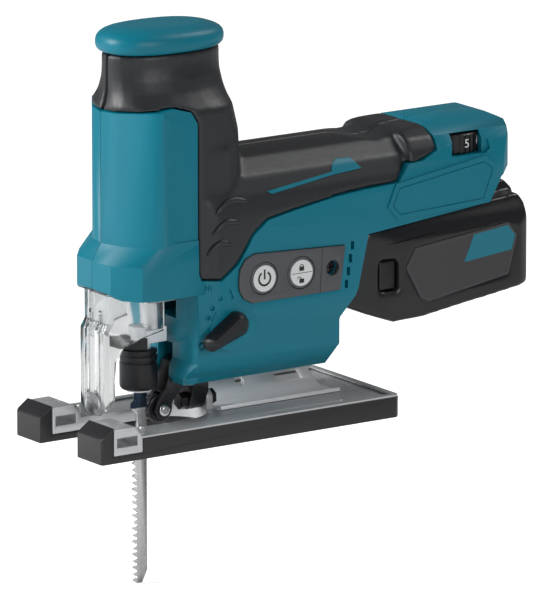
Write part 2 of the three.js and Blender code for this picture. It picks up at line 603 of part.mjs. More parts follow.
// ---- Slider, blade holder and blade -------------------------------------------------------------
piece('slider_rod', rodZ(0, ROD_Y, ROD_RADIUS, ROD_BOTTOM, ROD_TOP), steel);
const YOKE_HALF_WIDTH = 19;
const YOKE_HALF_HEIGHT = 7.5;
const ROLLER_SLOT = 4.3;
piece('yoke', cut(
  join(
    box(-YOKE_HALF_WIDTH, YOKE_HALF_WIDTH, 58.8, YOKE_BACK, GEAR_HEIGHT - YOKE_HALF_HEIGHT,
      GEAR_HEIGHT + YOKE_HALF_HEIGHT),
    box(-7.5, 7.5, 46, 59, GEAR_HEIGHT - YOKE_HALF_HEIGHT, GEAR_HEIGHT + YOKE_HALF_HEIGHT),
  ),
  rodZ(0, ROD_Y, ROD_RADIUS + 0.15, 80, 120),
  box(-16, 16, 60.2, YOKE_BACK + 1, GEAR_HEIGHT - ROLLER_SLOT, GEAR_HEIGHT + ROLLER_SLOT),
), steel);
const HOLDER_Y = SLEEVE.y;
piece('blade_holder', cut(
  join(
    rodZ(0, HOLDER_Y, 6.2, 24, 51),
    rodZ(0, HOLDER_Y, 4.4, 50, 56.8),
    box(-ROD_RADIUS - 0.75, ROD_RADIUS + 0.75, HOLDER_Y, ROD_Y + ROD_RADIUS + 1.85, 48.2, 55.6),
  ),
  rodZ(0, ROD_Y, ROD_RADIUS + 0.15, 40, 70),
  box(-BLADE_THICKNESS / 2 - 0.2, BLADE_THICKNESS / 2 + 0.2, HOLDER_Y - 4, BLADE_BACK + 0.3, 20, 37),
  box(-3, 3, BLADE_BACK - 0.7, BLADE_BACK + 4, 20, 37),
), aluminium);
piece('clamp_sleeve', cut(
  turnedZ([
    [6.5, SLEEVE.bottom], [8.6, SLEEVE.bottom], [SLEEVE_RADIUS, SLEEVE.bottom + 1.6],
    [SLEEVE_RADIUS, SLEEVE.top - 1], [SLEEVE_RADIUS - 1, SLEEVE.top], [6.5, SLEEVE.top], [6.5, SLEEVE.bottom],
  ], 0, SLEEVE.y, 36),
  box(-5.4, 5.4, SLEEVE.y + 6, SLEEVE.y + 12, 0, 60),
), black);
piece('release_lever', cut(
  join(
    turnedZ([[6.5, SLEEVE.top + GAP], [9.4, SLEEVE.top + GAP], [9.4, 52], [6.5, 52], [6.5, SLEEVE.top + GAP]],
      0, SLEEVE.y, 36),
    box(-7, 7, SLEEVE.y - 14, SLEEVE.y - 6, 47.5, 52),
  ),
  rodZ(0, SLEEVE.y, 6.5, 30, 60, 36),
  box(-12, 12, SLEEVE.y - 0.6, SLEEVE.y + 12, 30, 60),
), black);

function bladeOutline() {
  const front = BLADE_BACK - BLADE_DEPTH;
  const gullet = front + 2.6;
  const points = [[BLADE_BACK, 36], [BLADE_BACK, BLADE_TIP + 6], [BLADE_BACK - 3, BLADE_TIP],
    [gullet, BLADE_TIP]];
  const toothTop = 2;
  const teeth = Math.floor((toothTop - BLADE_TIP) / TOOTH_PITCH);
  for (let i = 0; i < teeth; i += 1) {
    const z = BLADE_TIP + i * TOOTH_PITCH;
    points.push([front, z + TOOTH_PITCH * 0.55]);
    points.push([gullet, z + TOOTH_PITCH * 0.98]);
  }
  points.push([gullet, 12], [front - 0.5, 15], [front - 0.5, 17.5], [front + 1.5, 19], [front + 1.5, 36]);
  return points;
}
piece('blade', acrossX(bladeOutline(), -BLADE_THICKNESS / 2, BLADE_THICKNESS / 2), steel);

// ---- Gear housing, bushings, gear train ---------------------------------------------------------
const ARM_BOTTOM = 69;
const ARM_TOP = 78.5;
piece('gear_housing', cut(
  join(
    box(-24, 24, 78.4, 84, 50.2, 120),
    box(-9, 9, 78.4, 84, 119, 138),
    box(-9, 9, 46, 79, 128.5, 138),
    box(-9, 9, 46, 79, ARM_BOTTOM, ARM_TOP),
    rodZ(0, ROD_Y, 9, 128.5, 138),
    rodZ(0, ROD_Y, 9, ARM_BOTTOM, ARM_TOP),
  ),
  rodZ(0, ROD_Y, BUSHING_RADIUS + 0.15, 60, 145),
  box(-5.4, 5.4, 62.5, 78.4, 67, 80),
  rodY(0, GEAR_HEIGHT, 4.2, 70, 90),
  rodY(0, MOTOR_HEIGHT, 8.3, 77, 90),
  rodX(LEVER_PIVOT.y, LEVER_PIVOT.z, 8.2, -9, 14),
  rodX(LEVER_PIVOT.y, LEVER_PIVOT.z, 4.5, 13, 26),
  box(-9.5, 9.5, 62.5, 78.4, 74.5, 82),
), aluminium);
function bushing(name, z0, z1) {
  const bore = rodZ(0, ROD_Y, ROD_RADIUS + GAP, z0 - 1, z1 + 1);
  piece(name, cut(rodZ(0, ROD_Y, BUSHING_RADIUS, z0, z1), bore), bronze);
}
bushing('rod_bushing_lower', ARM_BOTTOM + 0.3, ARM_TOP - 0.3);
bushing('rod_bushing_upper', 128.8, 137.7);
piece('gear_shaft', rodY(0, GEAR_HEIGHT, 4, 66.5, 86), steel);
piece('gear_bearing', cut(
  rodY(0, GEAR_HEIGHT, 7, GEAR_FRONT, GEAR_FRONT + GEAR_WIDTH),
  rodY(0, GEAR_HEIGHT, 4.3, GEAR_FRONT - 1, GEAR_FRONT + GEAR_WIDTH + 1),
), steel);

function toothedOutline(teeth, pitchRadius, phase) {
  const root = pitchRadius - GEAR_MODULE * 1.15;
  const tip = pitchRadius;
  const step = 2 * Math.PI / teeth;
  const points = [];
  for (let i = 0; i < teeth; i += 1) {
    const middle = (i + phase) * step;
    [[root, -0.3], [tip, -0.12], [tip, 0.12], [root, 0.3]].forEach(([radius, share]) => {
      const angle = middle + share * step;
      points.push([radius * Math.cos(angle), radius * Math.sin(angle)]);
    });
  }
  return points;
}
function gearAcrossY(teeth, radius, phase, height, y0, y1) {
  const outline = toothedOutline(teeth, radius, phase).map(([a, b]) => [a, b + height]);
  return acrossY(outline, y0, y1);
}
piece('drive_gear', cut(
  gearAcrossY(GEAR_TEETH, GEAR_RADIUS, 0, GEAR_HEIGHT, GEAR_FRONT, GEAR_FRONT + GEAR_WIDTH),
  rodY(0, GEAR_HEIGHT, 7.2, 60, 80), rodY(CRANK_RADIUS, GEAR_HEIGHT, 2.2, 60, 80),
), steel);
piece('crank_pin', rodY(CRANK_RADIUS, GEAR_HEIGHT, 2, 63.4, GEAR_FRONT + GEAR_WIDTH - 0.5, 20), steel);
piece('crank_roller', cut(rodY(CRANK_RADIUS, GEAR_HEIGHT, 4, 63.4, GEAR_FRONT - 0.4, 24),
  rodY(CRANK_RADIUS, GEAR_HEIGHT, 2.2, 60, 70, 20)), darkSteel);
const weightOutline = [
  ...arcPoints([0, GEAR_HEIGHT], 19, 130, 230, 8), ...arcPoints([0, GEAR_HEIGHT], 9, 230, 130, 6),
];
piece('counterweight', acrossY(weightOutline, 63.6, GEAR_FRONT - 0.3), darkSteel);

piece('pinion', cut(
  gearAcrossY(PINION_TEETH, PINION_RADIUS, 0.25, MOTOR_HEIGHT, GEAR_FRONT - 0.5, GEAR_FRONT + GEAR_WIDTH + 1),
  rodY(0, MOTOR_HEIGHT, 1.6, 60, 80, 16),
), steel);
piece('rotor', join(
  rodY(0, MOTOR_HEIGHT, 1.4, GEAR_FRONT - 0.5, 82, 16),
  rodY(0, MOTOR_HEIGHT, MOTOR_SHAFT_RADIUS, 79, 144, 20),
  rodY(0, MOTOR_HEIGHT, ROTOR_RADIUS, MOTOR_FRONT + 3, MOTOR_FRONT + MOTOR_LENGTH - 3),
), darkSteel);
piece('stator', cut(
  rodY(0, MOTOR_HEIGHT, STATOR_RADIUS, MOTOR_FRONT, MOTOR_FRONT + MOTOR_LENGTH, 32),
  rodY(0, MOTOR_HEIGHT, ROTOR_RADIUS + 0.5, MOTOR_FRONT - 1, MOTOR_FRONT + MOTOR_LENGTH + 1, 32),
), copper);
function bearing(name, y0, outer) {
  piece(name, cut(rodY(0, MOTOR_HEIGHT, outer, y0, y0 + 5),
    rodY(0, MOTOR_HEIGHT, MOTOR_SHAFT_RADIUS + GAP, y0 - 1, y0 + 6, 20)), steel);
}
bearing('motor_bearing_front', 78.8, 8);
bearing('motor_bearing_rear', 140, 8);
const FAN_RADIUS = STATOR_RADIUS - 2.5;
const fanBore = rodY(0, MOTOR_HEIGHT, 2.7, 80, 98, 20);
const fanDisc = cut(rodY(0, MOTOR_HEIGHT, FAN_RADIUS, 94.4, 95.9, 32), fanBore);
const fanHub = cut(rodY(0, MOTOR_HEIGHT, 6, 91, 95.9, 24), fanBore);
const FAN_BLADES = 11;
const fanBlades = Array.from({ length: FAN_BLADES }, (_, i) => solidOf(
  new THREE.BoxGeometry(FAN_RADIUS - 6, 4.2, 1.2).translate(FAN_RADIUS / 2 + 2.3, 0, 0)
    .rotateY(i * 2 * Math.PI / FAN_BLADES)
    .translate(0, 92.7, MOTOR_HEIGHT)));
piece('fan', join(fanDisc, fanHub, ...fanBlades), black);

// ---- Electronics --------------------------------------------------------------------------------
piece('controller_board', cut(
  join(box(-20, 20, 110, 200, 112, 113.6), box(-9, 9, 120, 150, 113.4, 121)),
  box(10, 30, 205, 240, 100, 140),
), circuit);
piece('terminal_block', box(-14, 14, 172, 190, 105.6, 109.5).add(box(-14, 14, 190, 206, 108, 110.8)), black);
piece('dial_potentiometer', join(
  box(DIAL.x - 7, DIAL.x + 5, DIAL.y - 6, DIAL.y + 6, DIAL_FLOOR - 10, DIAL_FLOOR - 3),
  rodZ(DIAL.x, DIAL.y, 2.2, DIAL_FLOOR - 4, DIAL_FLOOR - GAP, 16),
), darkSteel);
function speedDial() {
  const points = [];
  const knurls = 30;
  for (let i = 0; i < knurls; i += 1) {
    [[-0.3, DIAL.radius - 0.6], [-0.18, DIAL.radius], [0.18, DIAL.radius], [0.3, DIAL.radius - 0.6]]
      .forEach(([share, radius]) => {
        const angle = (i + share) * 2 * Math.PI / knurls;
        points.push([DIAL.x + radius * Math.cos(angle), DIAL.y + radius * Math.sin(angle)]);
      });
  }
  return acrossZ(points, DIAL_FLOOR, DIAL_FLOOR + DIAL.height);
}
piece('speed_dial', speedDial(), black);
piece('work_light', join(
  rodY(WORK_LIGHT.x, WORK_LIGHT.z, 3, FRONT_WALL - 0.6, FRONT_WALL + 2.5, 16),
  rodY(WORK_LIGHT.x, WORK_LIGHT.z, 2, FRONT_WALL - 1.4, FRONT_WALL, 16),
), clear);

// ---- Bevel bracket ------------------------------------------------------------------------------
const BRACKET = { front: 74.5, back: 84 };
const bracketOutline = [
  ...arcPoints([0, TILT_AXIS_HEIGHT], 4.6, 180, 360, 10), [7, 20], [7, BODY_BOTTOM - GAP],
  [-7, BODY_BOTTOM - GAP], [-7, 20],
];
piece('bevel_bracket', cut(
  acrossY(bracketOutline, BRACKET.front, BRACKET.back),
  rodY(0, TILT_AXIS_HEIGHT, 2.9, 60, 100, 20),
), black);
const EAR_BACK = 88;
piece('bevel_bolt', join(
  rodY(0, TILT_AXIS_HEIGHT, 4.4, BRACKET.front - 4, BRACKET.front - GAP, 6),
  rodY(0, TILT_AXIS_HEIGHT, 2.5, BRACKET.front - 1, EAR_BACK + 3, 20),
  rodY(0, TILT_AXIS_HEIGHT, 4.2, EAR_BACK + GAP, EAR_BACK + 3, 6),
), steel);

// ---- Base ---------------------------------------------------------------------------------------
function notchPlan(halfWidth, end) {
  return [
    [halfWidth, -2], ...arcPoints([0, end - halfWidth], halfWidth, 0, 180, 12), [-halfWidth, -2],
  ];
}
const CORNER = 2.5;
const basePlan = mirrored([
  [0, 0], [HALF_BASE - 1, 0], [HALF_BASE, 1], [HALF_BASE, BASE_LENGTH - CORNER],
  [HALF_BASE - CORNER, BASE_LENGTH], [0, BASE_LENGTH],
]);
const innerPlan = mirrored([
  [0, CAP_DEPTH], [HALF_BASE - SHOE_WALL, CAP_DEPTH], [HALF_BASE - SHOE_WALL, BASE_LENGTH - CORNER - 1],
  [HALF_BASE - CORNER - 1, BASE_LENGTH - SHOE_WALL], [0, BASE_LENGTH - SHOE_WALL],
]);
const capSide = [[0, 0], [CAP_DEPTH, 0], [CAP_DEPTH, CAP_BACK_HEIGHT], [0.6, CAP_FRONT_HEIGHT], [0, 12.6]];
const RIM_FRONT = 24.2;
const shoe = cut(
  join(
    acrossZ(basePlan, 0, SHOE_FLOOR),
    cut(acrossZ(basePlan, 0, SHOE_RIM_TOP).intersect(box(-60, 60, RIM_FRONT, 200, 0, 20)),
      acrossZ(innerPlan, SHOE_FLOOR, 30)),
    acrossX(capSide, -HALF_BASE, HALF_BASE).intersect(acrossZ(basePlan, 0, 30)),
  ),
  acrossZ(notchPlan(HALF_GAP, NOTCH_LENGTH), -5, 30),
);
piece('base_shoe', shoe, black);

const platePlan = grown(innerPlan, -GAP);
const prongSide = [
  [CAP_DEPTH + GAP, SHOE_FLOOR + GAP], [CAP_DEPTH + GAP, PRONG_TOP], [PRONG_END, PRONG_TOP],
  [RIM_FRONT - GAP, PLATE_TOP + 1.5], [RIM_FRONT - GAP, SHOE_FLOOR + GAP],
];
const beadPlan = cut(
  acrossZ(grown(basePlan, -0.3), SHOE_RIM_TOP + GAP, BEAD_TOP),
  acrossZ(grown(innerPlan, -2.2), 0, 30),
).intersect(box(-60, 60, RIM_FRONT - 1, 200, 0, 30));
const plateSlab = acrossZ(platePlan, SHOE_FLOOR + GAP, PLATE_TOP)
  .intersect(box(-60, 60, RIM_FRONT - 1, 200, 0, 30));
const ear = join(
  rodY(0, TILT_AXIS_HEIGHT, 4.6, BRACKET.back + 0.4, EAR_BACK, 24),
  box(-4.6, 4.6, BRACKET.back + 0.4, EAR_BACK, PLATE_TOP - 2, TILT_AXIS_HEIGHT),
);
const HALF_PRONG = HALF_BASE - 0.2;
piece('base_plate', cut(
  join(plateSlab, acrossX(prongSide, -HALF_PRONG, HALF_PRONG), beadPlan, ear),
  acrossZ(notchPlan(HALF_GAP, NOTCH_LENGTH), -5, 30),
  box(-60, 60, FENCE_SLOT.front, FENCE_SLOT.back, FENCE_SLOT.bottom, FENCE_SLOT.top),
  rodY(0, SADDLE.axisHeight, SADDLE.radius + SADDLE.wall + GAP, SADDLE.front - GAP, SADDLE.back + GAP, 48),
  rodY(0, TILT_AXIS_HEIGHT, 2.8, 60, 100, 20),
  box(-4.9, 4.9, EAR_BACK, EAR_BACK + 4, PLATE_TOP - 0.4, 25),
  rodZ(27.8, 17, 1.6, FENCE_SLOT.top, 30, 12), rodZ(-27.8, 17, 1.6, FENCE_SLOT.top, 30, 12),
), aluminium);

const saddleOutline = [
  ...arcPoints([0, SADDLE.axisHeight], SADDLE.radius, -63, -149, 14),
  ...arcPoints([0, SADDLE.axisHeight], SADDLE.radius + SADDLE.wall, -149, -63, 14),
];
piece('bevel_saddle', cut(
  acrossY(saddleOutline, SADDLE.front, SADDLE.back),
  box(-5.2, 5.2, 80, EAR_BACK + 4, 9, 22),
  box(-20, -12.5, 139, 154, 12.6, 16.8),
  rodX(118, 16, 2.6, -30, -10, 16),
), steel);

// ---- Dust cover ---------------------------------------------------------------------------------
const coverSide = [
  [COVER.lip - 1, COVER.top], [COVER.back + 1, COVER.top], [COVER.back + 1, 57], [38, 54], [29, 50],
  [25.5, 43], [24.8, 34], [24.8, COVER.bottom], [COVER.lip - 1, COVER.bottom],
];
const coverFace = mirrored([
  [0, COVER.bottom], [6, COVER.bottom + 0.8], [10.5, COVER.bottom + 5], [12.4, 24], [20, 34], [20, COVER.top],
  [0, COVER.top],
]);
piece('dust_cover', cut(
  coverShell(0, COVER.bottom, COVER.top),
  coverShell(COVER.wall, COVER.bottom - 1, COVER.top + 1),
).intersect(acrossX(coverSide, -30, 30)).intersect(acrossY(coverFace, 10, 70)), clear);

// ---- Battery ------------------------------------------------------------------------------------
const batterySide = [
  [163.2, 92.6], [158.6, 70], [157, 65], [151.2, 57.5], [165, 51.5], [180, 46], [196, 46.4], [260, 55.5],
  [BATTERY_BACK, 59], [262.5, 88], [260.5, 97], tailLine(256, -0.4), tailLine(164.5, -0.4),
];
const batteryPlan = mirrored([
  [0, 140], [26, 140], [BATTERY_HALF_WIDTH, 182], [BATTERY_HALF_WIDTH, 256], [30, 261], [22, 265],
  [0, BATTERY_BACK],
]);
const batterySection = mirrored([
  [0, 40], [29, 40], [BATTERY_HALF_WIDTH, 58], [BATTERY_HALF_WIDTH, 88], [29.5, 93.5], [29.5, 112], [0, 112],
]);
const batteryBody = acrossX(batterySide, -BATTERY_HALF_WIDTH, BATTERY_HALF_WIDTH)
  .intersect(acrossZ(batteryPlan, 30, 130)).intersect(acrossY(batterySection, 140, 270));
const RAIL_BACK = 246;
const batteryRail = acrossX(
  [tailLine(176, -2), tailLine(RAIL_BACK, -2), tailLine(RAIL_BACK, RAIL_HEIGHT), tailLine(178, RAIL_HEIGHT)],
  -RAIL_HALF_WIDTH, RAIL_HALF_WIDTH);
const batteryHump = acrossX(
  [tailLine(237.5, -1), [240.6, 107.4], [254, 108], [259, 103.5], [260.5, 97], [255, 92]], -20, 20);
const terminalSlots = [-9, 0, 9].map((x) => acrossX(
  [tailLine(174, 1), tailLine(206, 1), tailLine(206, RAIL_HEIGHT + 2), tailLine(174, RAIL_HEIGHT + 2)],
  x - 1.2, x + 1.2));
const CELL_RADIUS = 9.2;
const CELL_LENGTH = 65;
const cellMatrix = (x) => new THREE.Matrix4().makeTranslation(x, 218, 72.5)
  .multiply(new THREE.Matrix4().makeRotationX(TAIL_PITCH));
function cellSolid(x, radius, length, sides) {
  return solidOf(new THREE.CylinderGeometry(radius, radius, length, sides).applyMatrix4(cellMatrix(x)));
}
const WIRING_ROOM = 9;
const cellRoom = solidOf(new THREE.BoxGeometry(58.4, CELL_LENGTH + 2, 2 * CELL_RADIUS + 1.2 + WIRING_ROOM)
  .translate(0, 0, WIRING_ROOM / 2).applyMatrix4(cellMatrix(0)));
const LID_DEPTH = 11;
function lidRoom(gap) {
  const edge = [tailLine(140, -LID_DEPTH - gap), tailLine(270, -LID_DEPTH - gap)];
  return acrossX([...edge, [270, 130], [140, 130]], -50, 50);
}
const LATCH = { y0: 171, y1: 181, z0: 63, z1: 78, inner: 21, outer: 29.4, travel: 2.2 };
const LATCH_ROOM = LATCH.inner - LATCH.travel;
const latchRooms = [[LATCH_ROOM, 50], [-50, -LATCH_ROOM]].map(([x0, x1]) => box(
  x0, x1, LATCH.y0 - GAP, LATCH.y1 + GAP, LATCH.z0 - GAP, LATCH.z1 + GAP));
const labelOutline = [
  [185.4, 73.5], [191.4, 83], [248.5, 89], [254, 82], [248.5, 62.2], [199.2, 54.5], [194.4, 57],
];
const labelRoom = acrossX(grown(labelOutline, GAP), BATTERY_HALF_WIDTH - 1.2, 40);
const batteryLid = join(batteryBody, batteryRail, batteryHump).intersect(lidRoom(0));
const batteryTub = cut(batteryBody, lidRoom(GAP));
const labelPlate = acrossX(labelOutline, BATTERY_HALF_WIDTH - 0.9, BATTERY_HALF_WIDTH - 0.2);
const caseRooms = [cellRoom, labelRoom, ...latchRooms];
piece('battery_case_upper', mainBody(cut(batteryLid, ...caseRooms, ...terminalSlots)), black);
piece('battery_case_lower', mainBody(cut(batteryTub, ...caseRooms)), black);
piece('battery_label_plate', labelPlate, black);
[-1, 0, 1].forEach((column) => {
  const across = column * (2 * CELL_RADIUS + 0.6);
  piece(`battery_cell_${column + 2}`, cellSolid(across, CELL_RADIUS, CELL_LENGTH, 24), cellBlue);
});
function latch(name, side) {
  const [x0, x1] = side > 0 ? [LATCH.inner, LATCH.outer] : [-LATCH.outer, -LATCH.inner];
  piece(name, box(x0, x1, LATCH.y0, LATCH.y1, LATCH.z0, LATCH.z1), black);
}
latch('battery_latch_left', 1);
latch('battery_latch_right', -1);

export default tool;
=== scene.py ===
"""Cordless barrel-grip jigsaw: the looks of every piece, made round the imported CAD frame.

Lengths in the tables are millimetres. y is counted from the front of the base, as in the CAD source,
and at() turns such a place into metres in the shared frame.
"""
import math

import bmesh
import bpy
from mathutils import Matrix, Vector


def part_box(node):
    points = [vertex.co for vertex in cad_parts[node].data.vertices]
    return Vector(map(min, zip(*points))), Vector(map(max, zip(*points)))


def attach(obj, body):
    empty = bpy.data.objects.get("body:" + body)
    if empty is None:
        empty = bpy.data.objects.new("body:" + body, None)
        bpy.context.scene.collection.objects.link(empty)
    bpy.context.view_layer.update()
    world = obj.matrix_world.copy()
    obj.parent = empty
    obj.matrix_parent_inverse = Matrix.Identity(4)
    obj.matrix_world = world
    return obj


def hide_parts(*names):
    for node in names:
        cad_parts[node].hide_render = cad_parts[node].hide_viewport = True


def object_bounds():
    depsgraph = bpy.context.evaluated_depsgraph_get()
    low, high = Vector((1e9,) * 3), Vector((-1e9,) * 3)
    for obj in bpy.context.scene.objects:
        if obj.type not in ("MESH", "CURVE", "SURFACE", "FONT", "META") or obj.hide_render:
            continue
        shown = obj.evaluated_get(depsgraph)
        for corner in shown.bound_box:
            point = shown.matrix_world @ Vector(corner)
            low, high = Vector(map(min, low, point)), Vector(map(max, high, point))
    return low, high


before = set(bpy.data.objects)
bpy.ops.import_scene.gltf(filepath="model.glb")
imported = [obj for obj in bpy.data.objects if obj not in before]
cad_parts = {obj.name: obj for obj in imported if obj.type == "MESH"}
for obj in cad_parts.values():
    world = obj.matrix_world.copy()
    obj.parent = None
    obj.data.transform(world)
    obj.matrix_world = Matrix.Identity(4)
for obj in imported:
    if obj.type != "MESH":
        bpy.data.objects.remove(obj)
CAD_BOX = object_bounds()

bl_info = {
    "name": "Cordless jigsaw looks",
    "version": (1, 0, 0),
    "blender": (4, 5, 0),
    "location": "3D View > Sidebar > Jigsaw",
    "description": "Builds the visible pieces of a barrel-grip cordless jigsaw on its CAD frame",
    "category": "Object",
}

MM = 0.001
BASE_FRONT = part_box("base_shoe")[0].y


def at(x, y, z):
    """A place in the frame, in metres, from millimetres counted from the front of the base."""
    return Vector((x * MM, BASE_FRONT + y * MM, z * MM))


def back_to_mm(point):
    return Vector((point.x / MM, (point.y - BASE_FRONT) / MM, point.z / MM))


# ---- What a user would change --------------------------------------------------------------------
def colour(name, description, default):
    return bpy.props.FloatVectorProperty(
        name=name, description=description, subtype="COLOR", size=3, min=0, max=1, default=default)


def length(name, description, default):
    return bpy.props.FloatProperty(
        name=name, description=description, subtype="DISTANCE", unit="LENGTH", min=0, default=default)


class JigsawColours(bpy.types.PropertyGroup):
    """The colours of the finishes"""
    body: colour("Body", "Moulded housing and cap", (0.0, 0.165, 0.235))
    grip: colour("Grip", "Soft overmoulded grip", (0.014, 0.0155, 0.018))
    hard_black: colour("Hard black", "Battery, lever and dial", (0.007, 0.0075, 0.009))
    panel: colour("Panel", "Switch panel", (0.070, 0.073, 0.080))
    label: colour("Label", "Recessed battery label", (0.040, 0.040, 0.043))
    icon: colour("Icon", "Button discs and printed numbers", (0.66, 0.68, 0.68))
    shoe: colour("Shoe", "Powder coat of the base shoe", (0.014, 0.014, 0.016))
    cast: colour("Cast", "Cast aluminium base plate", (0.60, 0.61, 0.62))
    steel: colour("Steel", "Bright steel pieces", (0.62, 0.62, 0.63))
    shank: colour("Shank", "Coated end of the blade", (0.035, 0.055, 0.085))


class JigsawSizes(bpy.types.PropertyGroup):
    """The sizes of the fine detail"""
    shell_round: length("Shell round", "Radius on the housing's edges", 1.0 * MM)
    battery_voxel: length("Battery voxel", "Cell size that the battery case is smoothed at", 1.0 * MM)
    grip_voxel: length("Grip voxel", "Cell size that the soft grip is smoothed at", 0.9 * MM)
    mark_depth: length("Mark depth", "Depth of the moulded marks", 0.7 * MM)
    floor_drop: length("Floor drop", "Floor below the blade's tip", 0.5 * MM)


def colours():
    return bpy.context.scene.jigsaw_colours


def sizes():
    return bpy.context.scene.jigsaw_sizes


# ---- Shared shader effects -----------------------------------------------------------------------
def add_socket(tree, name, direction, kind, default=None):
    socket = tree.interface.new_socket(name=name, in_out=direction, socket_type=kind)
    if default is not None:
        socket.default_value = default
    return socket


def shown(name, data):
    """A new object for the data, put in the scene."""
    thing = bpy.data.objects.new(name, data)
    bpy.context.scene.collection.objects.link(thing)
    return thing


def link(tree, source, target):
    tree.links.new(source, target)


def wire(tree, *rows):
    """Links nodes. A row is a node, its output, the next node and its input."""
    for source, output, target, place in rows:
        link(tree, source.outputs[output], target.inputs[place])


def set_inputs(node, values):
    for key, value in values.items():
        node.inputs[key].default_value = value
    return node


def new_material(name):
    """A material, its node tree and its Principled shader."""
    material = bpy.data.materials.new(name)
    material.use_nodes = True
    return material, material.node_tree, material.node_tree.nodes["Principled BSDF"]


def shader_node(tree, kind, inputs=None, **settings):
    """A node with its settings and its input values."""
    node = tree.nodes.new(kind)
    for key, value in settings.items():
        setattr(node, key, value)
    return set_inputs(node, inputs or {})


def grain_group():
    """Fine moulded or cast texture: a bumped normal, with its grain size in cells per metre."""
    tree = bpy.data.node_groups.new("surface_grain", "ShaderNodeTree")
    add_socket(tree, "Scale", "INPUT", "NodeSocketFloat", 2500.0)
    add_socket(tree, "Depth", "INPUT", "NodeSocketFloat", 0.2)
    add_socket(tree, "Stretch", "INPUT", "NodeSocketVector", (1, 1, 1))
    add_socket(tree, "Normal", "OUTPUT", "NodeSocketVector")
    ends = shader_node(tree, "NodeGroupInput"), shader_node(tree, "NodeGroupOutput")
    place = shader_node(tree, "ShaderNodeTexCoord")
    stretch = shader_node(tree, "ShaderNodeVectorMath", operation="MULTIPLY")
    fine = shader_node(tree, "ShaderNodeTexNoise", {"Detail": 3.0, "Roughness": 0.6})
    bump = shader_node(tree, "ShaderNodeBump", {"Distance": 0.00015})
    wire(tree,
         (place, "Object", stretch, 0),
         (ends[0], "Stretch", stretch, 1),
         (stretch, 0, fine, "Vector"),
         (ends[0], "Scale", fine, "Scale"),
         (fine, "Fac", bump, "Height"),
         (ends[0], "Depth", bump, "Strength"),
         (bump, "Normal", ends[1], "Normal"))
    return tree


def tone_group():
    """Slow drift of a colour, and a finer drift of its roughness, over a piece."""
    tree = bpy.data.node_groups.new("tone_drift", "ShaderNodeTree")
    add_socket(tree, "Color", "INPUT", "NodeSocketColor", (0.5, 0.5, 0.5, 1))
    add_socket(tree, "Drift", "INPUT", "NodeSocketFloat", 0.1)
    add_socket(tree, "Roughness", "INPUT", "NodeSocketFloat", 0.5)
    add_socket(tree, "Roughness spread", "INPUT", "NodeSocketFloat", 0.08)
    add_socket(tree, "Color", "OUTPUT", "NodeSocketColor")
    add_socket(tree, "Roughness", "OUTPUT", "NodeSocketFloat")
    start, end = shader_node(tree, "NodeGroupInput"), shader_node(tree, "NodeGroupOutput")
    place = shader_node(tree, "ShaderNodeTexCoord")
    slow = shader_node(tree, "ShaderNodeTexNoise", {"Scale": 38.0, "Detail": 4.0, "Roughness": 0.55})
    fine = shader_node(tree, "ShaderNodeTexNoise", {"Scale": 420.0, "Detail": 3.0})
    centred = shader_node(tree, "ShaderNodeMath", {1: 0.5}, operation="SUBTRACT")
    spread = shader_node(tree, "ShaderNodeMath", operation="MULTIPLY")
    value = shader_node(tree, "ShaderNodeMath", {1: 1.0}, operation="ADD")
    tint = shader_node(tree, "ShaderNodeHueSaturation")
    rough_centred = shader_node(tree, "ShaderNodeMath", {1: 0.5}, operation="SUBTRACT")
    rough_spread = shader_node(tree, "ShaderNodeMath", operation="MULTIPLY")
    rough = shader_node(tree, "ShaderNodeMath", operation="ADD", use_clamp=True)
    for noise in (slow, fine):
        wire(tree, (place, "Object", noise, "Vector"))
    link(tree, slow.outputs["Fac"], centred.inputs[0])
    wire(tree,
         (centred, 0, spread, 0),
         (start, "Drift", spread, 1),
         (spread, 0, value, 0),
         (value, 0, tint, "Value"),
         (start, "Color", tint, "Color"),
         (tint, "Color", end, "Color"),
         (fine, "Fac", rough_centred, 0),
         (rough_centred, 0, rough_spread, 0),
         (start, "Roughness spread", rough_spread, 1),
         (rough_spread, 0, rough, 0),
         (start, "Roughness", rough, 1),
         (rough, 0, end, "Roughness"))
    return tree


def scuff_group():
    """A mask of short fine scratches, for worn metal and handled plastic."""
    tree = bpy.data.node_groups.new("fine_scuffs", "ShaderNodeTree")
    add_socket(tree, "Amount", "INPUT", "NodeSocketFloat", 0.5)
    add_socket(tree, "Mask", "OUTPUT", "NodeSocketFloat")
    start, end = shader_node(tree, "NodeGroupInput"), shader_node(tree, "NodeGroupOutput")
    place = shader_node(tree, "ShaderNodeTexCoord")
    turn = shader_node(tree, "ShaderNodeMapping", {"Scale": (90, 1400, 900)})
    lines = shader_node(tree, "ShaderNodeTexNoise", {"Scale": 1.0, "Detail": 2.0})
    patch = shader_node(tree, "ShaderNodeTexNoise", {"Scale": 60.0, "Detail": 2.0})
    both = shader_node(tree, "ShaderNodeMath", operation="MULTIPLY")
    pick = shader_node(tree, "ShaderNodeMapRange", {"From Min": 0.34, "From Max": 0.5})
    scaled = shader_node(tree, "ShaderNodeMath", operation="MULTIPLY", use_clamp=True)
    wire(tree,
         (place, "Object", turn, "Vector"),
         (turn, 0, lines, "Vector"),
         (place, "Object", patch, "Vector"),
         (lines, "Fac", both, 0),
         (patch, "Fac", both, 1),
         (both, 0, pick, "Value"),
         (pick, 0, scaled, 0),
         (start, "Amount", scaled, 1),
         (scaled, 0, end, "Mask"))
    return tree


def group_in(tree, name, inputs):
    node = tree.nodes.new("ShaderNodeGroup")
    node.node_tree = bpy.data.node_groups[name]
    return set_inputs(node, inputs)


